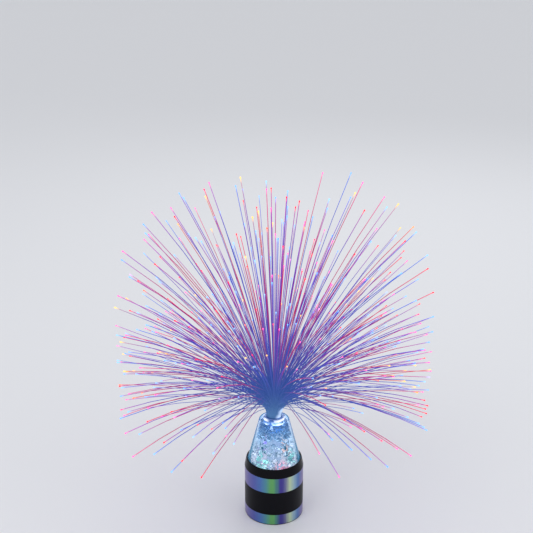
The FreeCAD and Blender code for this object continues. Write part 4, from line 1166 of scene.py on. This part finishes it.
# %% Fibre finish
NECK_GLINTS = [((6.5, -7.0, 117.0), 6.0), ((9.5, -6.0, 124.0), 6.5)]
NECK_BLUE = (0.075, 0.175, 0.36)
CORE_BLUE = (0.05, 0.10, 0.34)
STRAND_STOPS = [(0.0, (0.045, 0.055, 0.42)), (0.36, (0.045, 0.055, 0.42)), (0.40, (0.15, 0.025, 0.40)),
                (0.56, (0.15, 0.025, 0.40)), (0.60, (0.42, 0.01, 0.10)), (1.0, (0.42, 0.015, 0.13))]
BEAD_STOPS = [(0.0, (0.10, 0.32, 1.0)), (0.42, (0.22, 0.50, 1.0)), (0.46, (1.0, 0.12, 0.42)),
              (0.66, (1.0, 0.10, 0.40)), (0.70, (1.0, 0.02, 0.05)), (0.88, (1.0, 0.03, 0.06)),
              (0.92, (1.0, 0.50, 0.08)), (1.0, (1.0, 0.60, 0.15))]


def strand_light():
    """Core blue at first, then the strand's own colour, then the bead's."""
    material, tree, shader = new_finish("strand_light")
    own = ramp(tree, attribute(tree, "hue"), STRAND_STOPS)
    bead = ramp(tree, attribute(tree, "spark"), BEAD_STOPS)
    gone = attribute(tree, "gone")
    core = ramp(tree, gone, [(0.07, NECK_BLUE), (0.20, CORE_BLUE)])
    leaving = ramp(tree, gone, [(0.22, grey(0)), (0.50, grey(1))])
    ending = ramp(tree, attribute(tree, "along"), [(0.80, grey(0)), (0.975, grey(0.35)), (0.99, grey(1))])
    colour = blend(tree, leaving, core, own)
    where, _ = place_of(tree)
    for spot, reach in NECK_GLINTS:
        colour = blend(tree, nearness(tree, where, spot, reach), colour, (0.62, 0.76, 0.95))
    colour = blend(tree, ending, colour, bead)
    tree.links.new(colour, shader.inputs["Base Color"])
    tree.links.new(colour, shader.inputs["Emission Color"])
    strength = mathematics(tree, "MULTIPLY_ADD", ending, 0.75, 0.5)
    tree.links.new(strength, shader.inputs["Emission Strength"])
    shader.inputs["Roughness"].default_value = 0.4
    shader.inputs["Specular IOR Level"].default_value = 0.15
    return material


strands = strand_light()
for node_name, piece in zip(GROUPS, spray):
    piece.data.materials.append(strands)
    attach(piece, "fibre_head")
    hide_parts(node_name)
print("fibre pieces on the head:", [piece.name for piece in spray])

# %% [markdown]
# ## The plug
# A clear collar sits in the dome's top and a bright ferrule holds the fibres in it. Light leaks out round
# them, so the collar has a few bright places.

# %% Collar and ferrule
LEAKS = [(-8.5, -7.0, 115.0), (5.5, -9.8, 115.0), (9.0, -6.5, 115.5)]
LEAK_REACH = 5.0
COLLAR_BLUE = (0.04, 0.10, 0.32)


def leaking_collar():
    """Clear plastic with bright patches where light escapes."""
    material, tree, shader = new_finish("leaking_collar")
    where, _ = place_of(tree)
    patch = noise(tree, where, 170.0, 1.0)
    glow = ramp(tree, patch, [(0.0, COLLAR_BLUE), (0.5, (0.08, 0.18, 0.45)), (0.62, (0.75, 0.85, 1.0))])
    for spot in LEAKS:
        glow = blend(tree, nearness(tree, where, spot, LEAK_REACH), glow, grey(1.0))
    tree.links.new(glow, shader.inputs["Emission Color"])
    tree.links.new(glow, shader.inputs["Base Color"])
    shader.inputs["Emission Strength"].default_value = 0.55
    shader.inputs["Roughness"].default_value = 0.12
    return material


ferrule_bright = plain_finish("ferrule_bright", (0.22, 0.34, 0.62), 0.25, metallic=1.0)
dress("plug_collar", leaking_collar())
dress("fibre_ferrule", ferrule_bright)
print("plug dressed: collar and ferrule, with", len(LEAKS), "bright places")
